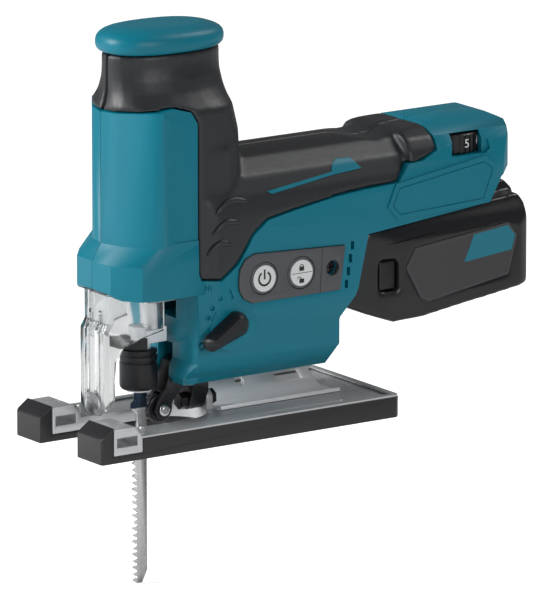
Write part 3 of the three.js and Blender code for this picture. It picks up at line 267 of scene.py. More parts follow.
def finish(name, base, roughness, drift=0.12, spread=0.1, grain=2500.0, depth=0.15, scuffs=0.0,
           worn=(0.3, 0.3, 0.3), stretch=(1, 1, 1), **shader):
    """A full surface finish. shader holds constant Principled inputs, such as Metallic or Coat Weight."""
    material, tree, surface = new_material(name)
    tone = group_in(tree, "tone_drift", {
        "Color": (*base, 1), "Drift": drift, "Roughness": roughness, "Roughness spread": spread})
    texture = group_in(tree, "surface_grain", {"Scale": grain, "Depth": depth, "Stretch": stretch})
    shade = tone.outputs["Color"]
    if scuffs:
        scratch = group_in(tree, "fine_scuffs", {"Amount": scuffs})
        mix = shader_node(tree, "ShaderNodeMix", data_type="RGBA")
        mix.inputs["B"].default_value = (*worn, 1)
        wire(tree, (scratch, "Mask", mix, "Factor"))
        link(tree, shade, mix.inputs["A"])
        shade = mix.outputs["Result"]
    link(tree, shade, surface.inputs["Base Color"])
    wire(tree,
         (tone, "Roughness", surface, "Roughness"),
         (texture, "Normal", surface, "Normal"))
    set_inputs(surface, {key.replace("_", " "): value for key, value in shader.items()})
    return material


def clear_finish(name, tint, roughness, grain, depth):
    """Clear moulded plastic with faint flow lines."""
    material, tree, surface = new_material(name)
    texture = group_in(tree, "surface_grain", {"Scale": grain, "Depth": depth, "Stretch": (1, 1, 0.3)})
    wire(tree, (texture, "Normal", surface, "Normal"))
    set_inputs(surface, {
        "Base Color": (*tint, 1), "Roughness": roughness, "Transmission Weight": 1.0, "IOR": 1.42,
        "Coat Weight": 0.5, "Coat Roughness": 0.06})
    return material


def blade_finish(name, steel, shank, from_height, to_height):
    """Ground steel with a dark coated band between two heights."""
    material = finish(name, steel, 0.28, drift=0.15, grain=3500.0, depth=0.12, scuffs=0.5,
                      worn=(0.3, 0.3, 0.31), stretch=(1, 0.12, 1), Metallic=1.0)
    tree = material.node_tree
    surface = tree.nodes["Principled BSDF"]
    shade = surface.inputs["Base Color"].links[0].from_socket
    place = shader_node(tree, "ShaderNodeTexCoord")
    split = shader_node(tree, "ShaderNodeSeparateXYZ")
    above = shader_node(tree, "ShaderNodeMapRange", {
        "From Min": from_height - 0.3 * MM, "From Max": from_height + 0.3 * MM})
    below = shader_node(tree, "ShaderNodeMapRange", {
        "From Min": to_height + 0.3 * MM, "From Max": to_height - 0.3 * MM})
    band = shader_node(tree, "ShaderNodeMath", operation="MULTIPLY", use_clamp=True)
    mix = shader_node(tree, "ShaderNodeMix", data_type="RGBA")
    mix.inputs["B"].default_value = (*shank, 1)
    wire(tree,
         (place, "Object", split, 0),
         (split, "Z", above, "Value"),
         (split, "Z", below, "Value"),
         (above, 0, band, 0),
         (below, 0, band, 1),
         (band, 0, mix, "Factor"))
    link(tree, shade, mix.inputs["A"])
    wire(tree, (mix, "Result", surface, "Base Color"))
    return material


FINISHES = {}


def make_finishes():
    """Every finish of the tool, by the name of its record slot or of its use."""
    grain_group()
    tone_group()
    scuff_group()
    c = colours()
    made = {
        "teal_plastic": finish("body_plastic", c.body, 0.40, drift=0.10, grain=2600.0, depth=0.2,
                               Specular_IOR_Level=0.32),
        "soft_grip": finish("grip_rubber", c.grip, 0.42, drift=0.45, spread=0.22, grain=1900.0, depth=0.45,
                            scuffs=0.10, worn=(0.05, 0.05, 0.055)),
        "black_plastic": finish("hard_black_plastic", c.hard_black, 0.36, drift=0.2, grain=2300.0,
                                depth=0.25, scuffs=0.08, worn=(0.05, 0.05, 0.055), Specular_IOR_Level=0.4),
        "battery_plastic": finish("battery_plastic", c.hard_black, 0.30, drift=0.2, grain=2000.0,
                                  depth=0.22, scuffs=0.06, worn=(0.04, 0.04, 0.045)),
        "grey_plastic": finish("panel_plastic", c.panel, 0.42, drift=0.08, grain=2600.0, depth=0.15),
        "label_plastic": finish("label_plastic", c.label, 0.5, drift=0.1, grain=3000.0, depth=0.12),
        "label_teal": finish("label_teal", c.body, 0.45, drift=0.08, grain=3000.0, depth=0.08),
        "pale_plastic": finish("button_film", c.icon, 0.38, drift=0.03, grain=2200.0, depth=0.05),
        "dark_print": finish("dark_print", c.hard_black, 0.5, drift=0.05, grain=2200.0, depth=0.05),
        "shoe_steel": finish("powder_coat", c.shoe, 0.36, drift=0.15, grain=1500.0, depth=0.3, scuffs=0.15,
                             worn=(0.05, 0.05, 0.055)),
        "cast_aluminium": finish("cast_aluminium", c.cast, 0.38, drift=0.12, spread=0.12, grain=1700.0,
                                 depth=0.3, scuffs=0.2, worn=(0.8, 0.8, 0.81), Metallic=0.6),
        "bright_steel": finish("bright_steel", c.steel, 0.24, drift=0.12, grain=2600.0, depth=0.12,
                               scuffs=0.4, worn=(0.4, 0.4, 0.41), Metallic=1.0),
        "satin_steel": finish("satin_steel", (0.93, 0.93, 0.94), 0.42, drift=0.06, grain=2400.0, depth=0.2,
                              scuffs=0.2, worn=(0.8, 0.8, 0.81), Metallic=0.25),
        "dark_steel": finish("blackened_steel", (0.05, 0.05, 0.054), 0.34, drift=0.25, grain=1800.0,
                             depth=0.2, scuffs=0.3, worn=(0.16, 0.16, 0.17), Metallic=0.9),
        "bronze": finish("sintered_bronze", (0.42, 0.28, 0.12), 0.45, grain=3000.0, depth=0.4, Metallic=1.0),
        "copper": finish("wound_copper", (0.52, 0.22, 0.10), 0.38, grain=1500.0, depth=0.6,
                         stretch=(1, 0.1, 1), Metallic=1.0),
        "circuit": finish("solder_mask", (0.01, 0.11, 0.05), 0.45, drift=0.3, grain=1200.0, depth=0.3),
        "cell_wrap": finish("cell_wrap", (0.05, 0.16, 0.42), 0.32, drift=0.05, grain=1500.0, depth=0.05),
        "clear_plastic": clear_finish("clear_cover", (0.93, 0.95, 0.955), 0.10, 260.0, 0.04),
        "lens": clear_finish("lamp_lens", (0.96, 0.97, 0.98), 0.03, 900.0, 0.1),
        "blade_steel": blade_finish("blade_steel", (0.66, 0.66, 0.67), c.shank, 15 * MM, 60 * MM),
    }
    FINISHES.update(made)


# ---- Solids --------------------------------------------------------------------------------------
def object_from(bm, name):
    mesh = bpy.data.meshes.new(name)
    bm.to_mesh(mesh)
    bm.free()
    return shown(name, mesh)


def discard(*objects):
    for thing in objects:
        mesh = thing.data
        bpy.data.objects.remove(thing)
        if mesh.users == 0:
            bpy.data.meshes.remove(mesh)


def cad_copy(node, flat=1.0):
    """A merged copy of a CAD node. Faces that turn by less than flat degrees become one, unless it is 0."""
    bm = bmesh.new()
    bm.from_mesh(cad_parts[node].data)
    bmesh.ops.remove_doubles(bm, verts=bm.verts, dist=2e-6)
    if flat:
        bmesh.ops.dissolve_limit(bm, angle_limit=math.radians(flat), verts=bm.verts, edges=bm.edges)
    return object_from(bm, node + "_made")


def settled(thing):
    """Replaces an object's mesh by what its modifiers make, and removes them."""
    graph = bpy.context.evaluated_depsgraph_get()
    graph.update()
    mesh = bpy.data.meshes.new_from_object(thing.evaluated_get(graph))
    thing.modifiers.clear()
    old = thing.data
    thing.data = mesh
    if old.users == 0:
        bpy.data.meshes.remove(old)
    return thing


def boolean(thing, others, operation):
    """Cuts, joins or crosses thing with others, and uses the others up."""
    for other in others:
        step = thing.modifiers.new("cut", "BOOLEAN")
        step.operation = operation
        step.solver = "EXACT"
        step.object = other
    settled(thing)
    discard(*others)
    return thing


def cut(thing, *others):
    return boolean(thing, others, "DIFFERENCE")


def join(thing, *others):
    return boolean(thing, others, "UNION")


def rounded(thing, width, segments=3, angle=26.0):
    """Rounds every edge that turns more than the angle."""
    for face in thing.data.polygons:
        face.use_smooth = True
    step = thing.modifiers.new("round", "BEVEL")
    step.width = width
    step.segments = segments
    step.limit_method = "ANGLE"
    step.angle_limit = math.radians(angle)
    step.use_clamp_overlap = True
    step.miter_outer = "MITER_ARC"
    step.harden_normals = True
    settled(thing)
    return thing


def softened(thing, voxel, passes):
    """Rebuilds a solid in even cells and smooths it."""
    step = thing.modifiers.new("cells", "REMESH")
    step.mode = "VOXEL"
    step.voxel_size = voxel
    thing.modifiers.new("soften", "SMOOTH").iterations = passes
    return settled(thing)


def shaded(thing, angle=32.0):
    """Smooth shading that keeps the real edges sharp."""
    for face in thing.data.polygons:
        face.use_smooth = True
    thing.data.set_sharp_from_angle(angle=math.radians(angle))
    return thing


def prism(outline, low, high, place, name="prism"):
    """A closed prism on an outline. place(a, b, depth) gives a corner's position."""
    bm = bmesh.new()
    rings = [[bm.verts.new(place(a, b, depth)) for a, b in outline] for depth in (low, high)]
    bm.faces.new(rings[0])
    bm.faces.new(rings[1][::-1])
    count = len(outline)
    for i in range(count):
        j = (i + 1) % count
        bm.faces.new((rings[0][j], rings[0][i], rings[1][i], rings[1][j]))
    bmesh.ops.recalc_face_normals(bm, faces=bm.faces)
    return object_from(bm, name)


def across(outline, x0, x1, name="across"):
    """A side outline of (y, z), from x0 to x1."""
    return prism(outline, x0, x1, lambda a, b, depth: at(depth, a, b), name)


def upright(outline, z0, z1, name="upright"):
    """A plan outline of (x, y), from z0 to z1."""
    return prism(outline, z0, z1, lambda a, b, depth: at(a, b, depth), name)


def lengthwise(outline, y0, y1, name="lengthwise"):
    """A front outline of (x, z), from y0 to y1."""
    return prism(outline, y0, y1, lambda a, b, depth: at(a, depth, b), name)


def arc(centre, radius, start, end, steps):
    points = []
    for i in range(steps + 1):
        angle = math.radians(start + (end - start) * i / steps)
        points.append((centre[0] + radius * math.cos(angle), centre[1] + radius * math.sin(angle)))
    return points


def ring(centre, radius, steps=32):
    return arc(centre, radius, 0, 360 * (steps - 1) / steps, steps - 1)


def rect(a0, a1, b0, b1):
    return [(a0, b0), (a1, b0), (a1, b1), (a0, b1)]


def rounded_box(y0, y1, z0, z1, radius, steps=5):
    return [
        *arc((y1 - radius, z1 - radius), radius, 0, 90, steps),
        *arc((y0 + radius, z1 - radius), radius, 90, 180, steps),
        *arc((y0 + radius, z0 + radius), radius, 180, 270, steps),
        *arc((y1 - radius, z0 + radius), radius, 270, 360, steps),
    ]


def loft(rings, name):
    """A skin over closed rings of equal count, capped at both ends."""
    bm = bmesh.new()
    rows = [[bm.verts.new(point) for point in one] for one in rings]
    count = len(rows[0])
    for lower, upper in zip(rows, rows[1:]):
        for i in range(count):
            j = (i + 1) % count
            bm.faces.new((lower[i], lower[j], upper[j], upper[i]))
    bm.faces.new(rows[0][::-1])
    bm.faces.new(rows[-1])
    bmesh.ops.recalc_face_normals(bm, faces=bm.faces)
    return object_from(bm, name)


def turned(profile, centre, axis, name, steps=48):
    """A profile of (radius, distance) turned round an axis through centre; it starts and ends on the axis."""
    turn = Vector((0, 0, 1)).rotation_difference(Vector(axis)).to_matrix()
    bm = bmesh.new()
    rows = []
    for radius, distance in profile:
        if radius == 0:
            rows.append([bm.verts.new(centre + turn @ Vector((0, 0, distance * MM)))])
            continue
        rows.append([bm.verts.new(centre + turn @ Vector((
            radius * MM * math.cos(2 * math.pi * i / steps), radius * MM * math.sin(2 * math.pi * i / steps),
            distance * MM))) for i in range(steps)])
    for lower, upper in zip(rows, rows[1:]):
        for i in range(steps):
            j = (i + 1) % steps
            if len(lower) == 1:
                bm.faces.new((lower[0], upper[j], upper[i]))
            elif len(upper) == 1:
                bm.faces.new((lower[i], lower[j], upper[0]))
            else:
                bm.faces.new((lower[i], lower[j], upper[j], upper[i]))
    bmesh.ops.recalc_face_normals(bm, faces=bm.faces)
    return object_from(bm, name)


def merged(things, name):
    """Several finished objects as one mesh."""
    bm = bmesh.new()
    for thing in things:
        bm.from_mesh(thing.data)
    discard(*things)
    return object_from(bm, name)


def placed(thing, name, body, material, *nodes, slot=None):
    """Gives a finished piece its name, finish and body, and hides the CAD nodes that it replaces. slot is not
    used.
    """
    thing.name = name
    thing.data.name = name
    thing.data.materials.clear()
    thing.data.materials.append(FINISHES[material])
    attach(thing, body)
    if nodes:
        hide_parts(*nodes)
    return thing


def dressed(node, material):
    """A CAD node whose shape is right: only its finish is set."""
    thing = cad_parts[node]
    thing.data.materials.clear()
    thing.data.materials.append(FINISHES[material])


def refined(node, width, material, body, slot, segments=3):
    """A CAD node's copy with rounded edges."""
    thing = rounded(cad_copy(node), width, segments)
    placed(thing, node + "_shaped", body, material, node, slot=slot)


# ---- Repeating detail, by Geometry Nodes ---------------------------------------------------------
def geometry_tree(name, sockets):
    tree = bpy.data.node_groups.new(name, "GeometryNodeTree")
    add_socket(tree, "Geometry", "INPUT", "NodeSocketGeometry")
    for socket, kind, default in sockets:
        add_socket(tree, socket, "INPUT", kind, default)
    add_socket(tree, "Geometry", "OUTPUT", "NodeSocketGeometry")
    start = shader_node(tree, "NodeGroupInput")
    end = shader_node(tree, "NodeGroupOutput")
    return tree, start, end


def close_tree(tree, start, end, instances):
    """Realize Instances, then Set Material, as the tree's end."""
    real = shader_node(tree, "GeometryNodeRealizeInstances")
    paint = shader_node(tree, "GeometryNodeSetMaterial")
    link(tree, instances, real.inputs[0])
    wire(tree,
         (real, 0, paint, "Geometry"),
         (start, "Finish", paint, "Material"),
         (paint, 0, end, 0))


def points_tree():
    """One copy of the part at each vertex of the object's own mesh."""
    tree, start, end = geometry_tree("parts_at_points", [
        ("Part", "NodeSocketObject", None), ("Turn", "NodeSocketVector", (0, 0, 0)),
        ("Size", "NodeSocketFloat", 1.0), ("Finish", "NodeSocketMaterial", None)])
    part = shader_node(tree, "GeometryNodeObjectInfo")
    spread = shader_node(tree, "GeometryNodeInstanceOnPoints")
    wire(tree,
         (start, "Part", part, "Object"),
         (start, "Geometry", spread, "Points"),
         (part, "Geometry", spread, "Instance"),
         (start, "Turn", spread, "Rotation"),
         (start, "Size", spread, "Scale"))
    close_tree(tree, start, end, spread.outputs[0])
    return tree


def ring_tree():
    """Copies of the part round an upright axis, each turned to face outwards."""
    tree, start, end = geometry_tree("parts_in_a_ring", [
        ("Part", "NodeSocketObject", None), ("Count", "NodeSocketInt", 24),
        ("Centre", "NodeSocketVector", (0, 0, 0)), ("Finish", "NodeSocketMaterial", None)])
    part = shader_node(tree, "GeometryNodeObjectInfo")
    line = shader_node(tree, "GeometryNodeMeshLine", mode="OFFSET")
    line.inputs["Offset"].default_value = (0, 0, 0)
    index = shader_node(tree, "GeometryNodeInputIndex")
    share = shader_node(tree, "ShaderNodeMath", operation="DIVIDE")
    angle = shader_node(tree, "ShaderNodeMath", {1: 2 * math.pi}, operation="MULTIPLY")
    turn = shader_node(tree, "ShaderNodeCombineXYZ")
    spread = shader_node(tree, "GeometryNodeInstanceOnPoints")
    wire(tree,
         (start, "Count", line, "Count"),
         (start, "Centre", line, "Start Location"),
         (start, "Part", part, "Object"),
         (index, 0, share, 0),
         (start, "Count", share, 1),
         (share, 0, angle, 0),
         (angle, 0, turn, "Z"),
         (line, 0, spread, "Points"),
         (part, "Geometry", spread, "Instance"),
         (turn, 0, spread, "Rotation"))
    close_tree(tree, start, end, spread.outputs[0])
    return tree


def make_trees():
    points_tree()
    ring_tree()


def repeated(tree_name, part, material, points=(), **inputs):
    """Runs a repeating tree and returns its plain mesh object. part is used up."""
    tree = bpy.data.node_groups[tree_name]
    mesh = bpy.data.meshes.new(tree_name)
    mesh.from_pydata([tuple(p) for p in points], [], [])
    thing = shown(tree_name, mesh)
    step = thing.modifiers.new("repeat", "NODES")
    step.node_group = tree
    values = dict(inputs, Part=part, Finish=FINISHES[material])
    for item in tree.interface.items_tree:
        if item.in_out == "INPUT" and item.name in values:
            step[item.identifier] = values[item.name]
    settled(thing)
    discard(part)
    return thing


# ---- Details that several pieces use -------------------------------------------------------------
def surface_x(thing, y, z, side=1):
    """How far out, in millimetres, a piece's side stands at (y, z)."""
    start = at(OUTSIDE * side, y, z)
    hit, place, _, _ = thing.ray_cast(start, Vector((-side, 0, 0)))
    if not hit:
        raise RuntimeError("no surface at y %.1f z %.1f" % (y, z))
    return place.x / MM


def swept(path, radii, name, sides):
    """A tube along a path, its radius given at each point."""
    rings = []
    for i, point in enumerate(path):
        ahead = path[min(i + 1, len(path) - 1)] - path[max(i - 1, 0)]
        turn = Vector((0, 0, 1)).rotation_difference(ahead.normalized()).to_matrix()
        one = []
        for k in range(sides):
            angle = 2 * math.pi * k / sides
            one.append(point + turn @ Vector((math.cos(angle), math.sin(angle), 0)) * radii[i] * MM)
        rings.append(one)
    return loft(rings, name)


def cross_head(radius, depth):
    """A domed screw head that faces +Z at the origin, with a cross recess."""
    head = turned([(0, -1.2), (radius, -1.2), (radius, -0.3), (radius * 0.82, 0.35), (radius * 0.4, 0.7),
                   (0, 0.8)], Vector((0, 0, 0)), (0, 0, 1), "cross_head", 40)
    arm = radius * 0.55
    wide = radius * 0.14
    for a, b in ((arm, wide), (wide, arm)):
        cutter = prism(rect(-a, a, -b, b), -depth, 2, lambda u, v, d: Vector((u, v, d)) * MM)
        cut(head, cutter)
    return shaded(head, 30)


def mark(outline, name):
    """A thin printed shape that stands on a button's disc."""
    return across(outline, DISC_FACE - PRINT_SUNK, DISC_FACE + PRINT_THICK, name)


def band(centre, radius, width, start, end, steps=28):
    """The outline of part of a flat ring."""
    outer = arc(centre, radius + width / 2, start, end, steps)
    inner = arc(centre, radius - width / 2, end, start, steps)
    return outer + inner


def grown_outline(outline, amount):
    """An outline of (a, b), counter-clockwise or not, moved outwards by the amount."""
    area = sum(p[0] * q[1] - q[0] * p[1] for p, q in zip(outline, outline[1:] + outline[:1]))
    turn = 1 if area > 0 else -1
    moved = []
    count = len(outline)
    for i in range(count):
        before, here, after = (Vector(outline[(i + k) % count]) for k in (-1, 0, 1))
        first = (here - before).normalized()
        second = (after - here).normalized()
        normal_a = Vector((first.y, -first.x)) * turn
        normal_b = Vector((second.y, -second.x)) * turn
        split = (normal_a + normal_b).normalized()
        reach = amount / max(0.3, split.dot(normal_a))
        moved.append(tuple(here + split * reach))
    return moved


# Levels on the side faces, in millimetres out from the middle plane.
OUTSIDE = 60
POCKET_FLOOR = 29.3
BADGE_ROOT = 29.0
BADGE_GROOVE = 33.2
BADGE_FACE = 33.75
PANEL_FACE = 34.0
DISC_BACK = 34.2
DISC_FACE = 34.42
LABEL_SEAT = 31.0
LABEL_BACK = 31.2
LABEL_PRINT_BACK = 31.7
PRINT_THICK = 0.07
PRINT_SUNK = 0.15

# Outlines and places on the side faces, as (y, z).
POWER = (98.7, 80.0)
LOCK = (120.8, 80.0)
SCREW = (139.7, 80.0)
BADGE = [(178.4, 117.5), (232.5, 125.1), (240.3, 119), (233.1, 101), (179.7, 99), (173.2, 106)]
COLUMN_POCKET = [(48.7, 103), (48.7, 160), (47.5, 163.5), (44.5, 166.3), (42.5, 167.5), (42.5, 171),
                 (70, 171), (70, 103)]
DIAL_POCKET = [(213, 126.5), (213.5, 133), (219, 138.5), (235, 139.5), (237, 128), (234, 126)]
LABEL = [(185.4, 73.5), (191.4, 83), (248.5, 89), (254, 82), (248.5, 62.2), (199.2, 54.5), (194.4, 57)]
STRIPE = [(102.8, 122.7), (142.7, 127.1), (144.6, 130.5), (148.5, 132.4), (156.4, 132.1), (160.8, 126.8),
          (144, 125.8), (104.8, 121.2)]

# The speed dial: its axis as (x, y), and its numbers.
DIAL_AXIS = (17.5, 224.0)
DIAL_LUGS = 24
DIAL_RADIUS = 11.5
DIGIT_SIZE = 6.2
DIGIT_RADIUS = 12.0
DIGIT_STEP = 45
SHOWN_DIGIT = 4

# The cap: how square its plan is, how much its sides pull in, and the slope of its top.
CAP_SQUARENESS = 2.35
CAP_SIDE_SHARE = 0.86
CAP_SLOPE = 0.0144
CAP_SLOPE_START = 6
CAP_STEPS = 96

# The blade's teeth, and how far each leans out to one side.
TEETH_FOOT = -74
TEETH_TOP = 4
TOOTH_PITCH = 3.3
TOOTH_DEPTH = 0.9
TOOTH_SET = 0.42

# The stage, in metres and watts. A lamp is a name, a place, a power and a size.
LAMPS = (("key", (-0.7, -1.7, 0.95), 44, 0.9), ("side", (1.9, -0.3, 0.75), 12, 0.8),
         ("back", (0.3, 1.5, 1.7), 16, 0.9))
LAMP_TARGET = Vector((0, 0.02, 0.08))
WORLD_LIGHT = 0.17
FLOOR_HALF = 6
FLOOR_GLOW = 0.6
CAMERA_TARGET = Vector((0, 0.0368, 0.0613))
CAMERA_AZIMUTH = 55.53
CAMERA_LIFT = 13.13
CAMERA_DISTANCE = 4.5
CAMERA_LENS = 553


# ---- Operators -----------------------------------------------------------------------------------
class MakeFinishes(bpy.types.Operator):
    """Makes the finishes and the trees for repeated detail"""
    bl_idname = "jigsaw.finishes"
    bl_label = "Finishes"

    def execute(self, context):
        make_finishes()
        make_trees()
        return {"FINISHED"}


class MakeHousing(bpy.types.Operator):
    """Shapes the two teal shells: pockets, marks, badge panel and rounded edges"""
    bl_idname = "jigsaw.housing"
    bl_label = "Housing"

    def execute(self, context):
        depth = sizes().mark_depth / MM
        for side, node in ((1, "housing_left"), (-1, "housing_right")):
            shell = cad_copy(node, flat=0)
            cut(shell, across(COLUMN_POCKET, POCKET_FLOOR * side, 34 * side))
            badge = across(BADGE, BADGE_ROOT * side, BADGE_FACE * side)
            rim = across(grown_outline(BADGE, -2.4), BADGE_GROOVE * side, 35 * side)
            inner = across(grown_outline(BADGE, -3.0), 30.0 * side, 33.7 * side)
            cut(badge, rim)
            join(badge, inner)
            if side == 1:
                self.cut_marks(shell, depth)
            boss = turned([(0, 12), (4.7, 12), (4.7, 18.3), (4.0, 19.3), (2.2, 19.7), (0, 19.8)],
                          at(0, 66.2, 31.9), (side, 0, 0), "knuckle", 40)
            shaded(boss, 40)
            rounded(shell, sizes().shell_round, 3, 24)
            whole = merged([shell, boss, rounded(badge, 0.35 * MM, 2, 30)], node + "_shell")
            placed(whole, node + "_shell", "housing", "teal_plastic", node)
        return {"FINISHED"}

    def cut_marks(self, shell, depth):
        """The setting dots, pointer slot, ring and comb beside the lever, and the dial's recess."""
        for y, z in ((73.4, 73.0), (69.3, 68.3), (67.4, 63.6)):
            x = surface_x(shell, y, z)
            cut(shell, across(ring((y, z), 1.3, 20), x - depth, x + 6))
        pointer = [(78.1, 76.8), (79.3, 77.3), (81.4, 72.3), (80.0, 71.6)]
        cut(shell, across(pointer, surface_x(shell, 79.6, 74.2) - depth, 40))
        x = surface_x(shell, 66.0, 49.2)
        ring_cut = across(ring((66.0, 49.2), 2.0, 28), x - depth, x + 3)
        cut(ring_cut, across(ring((66.0, 49.2), 1.25, 24), x - 4, x + 5))
        cut(shell, ring_cut)
        for step in range(3):
            y = 66.2 + 1.2 * step
            x = surface_x(shell, y, 78.5)
            cut(shell, across(rect(y, y + 0.5, 77.2, 80.0), x - depth * 0.6, x + 3))
        cut(shell, across(DIAL_POCKET, 29.4, 36))
        tick = [(222.4, 141.2), (223.0, 141.2), (222.0, 138.9), (221.6, 138.9)]
        cut(shell, across(tick, 28.6, 36))


class MakeGrips(bpy.types.Operator):
    """Smooths the black overmoulded grips and adds the finger lips and the inlaid stripe"""
    bl_idname = "jigsaw.grips"
    bl_label = "Grips"

    def execute(self, context):
        for side, node in ((1, "grip_left"), (-1, "grip_right")):
            grip = softened(cad_copy(node), sizes().grip_voxel, 24)
            shaded(grip, 80)
            stripe = self.stripe(grip, side)
            lips = self.lips(grip, side)
            whole = merged([grip, *lips], node + "_moulded")
            shaded(whole, 70)
            placed(whole, node + "_moulded", "housing", "soft_grip", node)
            placed(stripe, node + "_stripe", "housing", "teal_plastic")
        return {"FINISHED"}

    def lips(self, grip, side):
        """Three curved finger lips that fade out at their ends."""
        made = []
        for y, z, long in ((80.7, 118.6, 20), (77.4, 108.6, 16), (73.6, 98.5, 13)):
            path, radii = [], []
            for k in range(21):
                t = k / 20 * 2 - 1
                py = y + t * long / 2
                pz = z + 2.2 - 5.0 * (t - 0.15) ** 2 * (1 if t < 0.15 else 0.55)
                x = surface_x(grip, py, pz, side)
                path.append(at(x - 0.4 * side, py, pz))
                radii.append(1.6 * (1 - t ** 4) ** 0.5 + 0.04)
            made.append(swept(path, radii, "finger_lip", 12))
        return made

    def stripe(self, grip, side):
        """The teal inlay on the barrel, a skin that follows the grip."""
        block = across(STRIPE, 8 * side, 34 * side)
        skin = shown("stripe_skin", grip.data.copy())
        for vertex, normal in zip(skin.data.vertices, [n.vector.copy() for n in skin.data.vertex_normals]):
            vertex.co = vertex.co + normal * 0.35 * MM
        return shaded(boolean(skin, [block], "INTERSECT"), 40)


class MakeCap(bpy.types.Operator):
    """Makes the domed cap on top of the barrel grip"""
    bl_idname = "jigsaw.cap"
    bl_label = "Top cap"

    def execute(self, context):
        low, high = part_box("top_cap")
        low, high = back_to_mm(low), back_to_mm(high)
        middle = (low.y + high.y) / 2
        half_long = (high.y - low.y) / 2
        half_wide = high.x
        profile = [(low.z, 2.2), (low.z + 0.4, 1.5), (low.z + 1.5, 0.5), (low.z + 3, 0.05), (low.z + 5, 0),
                   (low.z + 7, 0.5), (low.z + 8.7, 1.8), (low.z + 9.9, 3.6), (low.z + 10.8, 5.8),
                   (low.z + 11.5, 8.4), (low.z + 12.0, 10.6), (low.z + 12.15, 11.4), (low.z + 12.3, 14)]
        rows = []
        for z, inset in profile:
            row = []
            for k in range(CAP_STEPS):
                angle = 2 * math.pi * k / CAP_STEPS
                c, s = math.cos(angle), math.sin(angle)
                power = 2 / CAP_SQUARENESS
                x = (half_wide - inset * CAP_SIDE_SHARE) * math.copysign(abs(c) ** power, c)
                y = (half_long - inset) * math.copysign(abs(s) ** power, s)
                lift = max(0.0, (z - low.z - CAP_SLOPE_START) / 6)
                row.append(at(x, middle + y, z - lift * CAP_SLOPE * (y + half_long)))
            rows.append(row)
        cap = shaded(loft(rows, "top_cap_dome"), 45)
        placed(cap, "top_cap_dome", "housing", "teal_plastic", "top_cap")
        return {"FINISHED"}


class MakeSwitchPanel(bpy.types.Operator):
    """Shapes the switch panel, its two pads with their icons, and its screw"""
    bl_idname = "jigsaw.switch_panel"
    bl_label = "Switch panel"

    def execute(self, context):
        frame_plate = cad_copy("switch_panel")
        divider = [(131.3, 60), (131.9, 60), (134.4, 100), (133.8, 100)]
        cut(frame_plate, across(divider, PANEL_FACE - 0.35, 40))
        rounded(frame_plate, 0.5 * MM)
        placed(frame_plate, "switch_panel_plate", "housing", "grey_plastic", "switch_panel")
        self.button("power_button", POWER, self.power_icon)
        self.button("lock_button", LOCK, self.lock_icon)
        head = cross_head(3.2, 1.1)
        screw = repeated("parts_at_points", head, "dark_steel", [at(31.0, *SCREW)],
                         Turn=(0, math.pi / 2, 0), Size=1.0)
        placed(screw, "panel_screw_head", "housing", "dark_steel", "panel_screw")
        return {"FINISHED"}

    def button(self, node, place, icon):
        refined(node, 0.25 * MM, "grey_plastic", node, "grey_plastic")
        disc = across(ring(place, 6.6, 64), DISC_BACK, DISC_FACE, node + "_disc")
        placed(rounded(disc, 0.08 * MM, 2, 40), node + "_disc", node, "pale_plastic")
        placed(icon(place), node + "_icon", node, "dark_print", slot="grey_plastic")

    def power_icon(self, place):
        y, z = place
        arc_part = mark(band(place, 3.4, 1.05, 122, 418), "power_ring")
        bar = mark(rect(y - 0.5, y + 0.5, z - 0.4, z + 4.6), "power_bar")
        return shaded(merged([arc_part, bar], "power_icon"))

    def lock_icon(self, place):
        """A divider with a shut lock above it and an open one below."""
        y, z = place
        parts = [mark(rect(y - 6.3, y + 6.3, z - 0.12, z + 0.12), "divider")]
        for dz, shift in ((1.1, 0.0), (-5.0, -1.5)):
            top = z + dz + 2.1
            parts.append(mark(rect(y - 1.4, y + 1.4, z + dz, top), "lock_body"))
            parts.append(mark(band((y + shift, top), 1.0, 0.42, 0, 180, 14), "shackle"))
        return shaded(merged(parts, "lock_icon"))


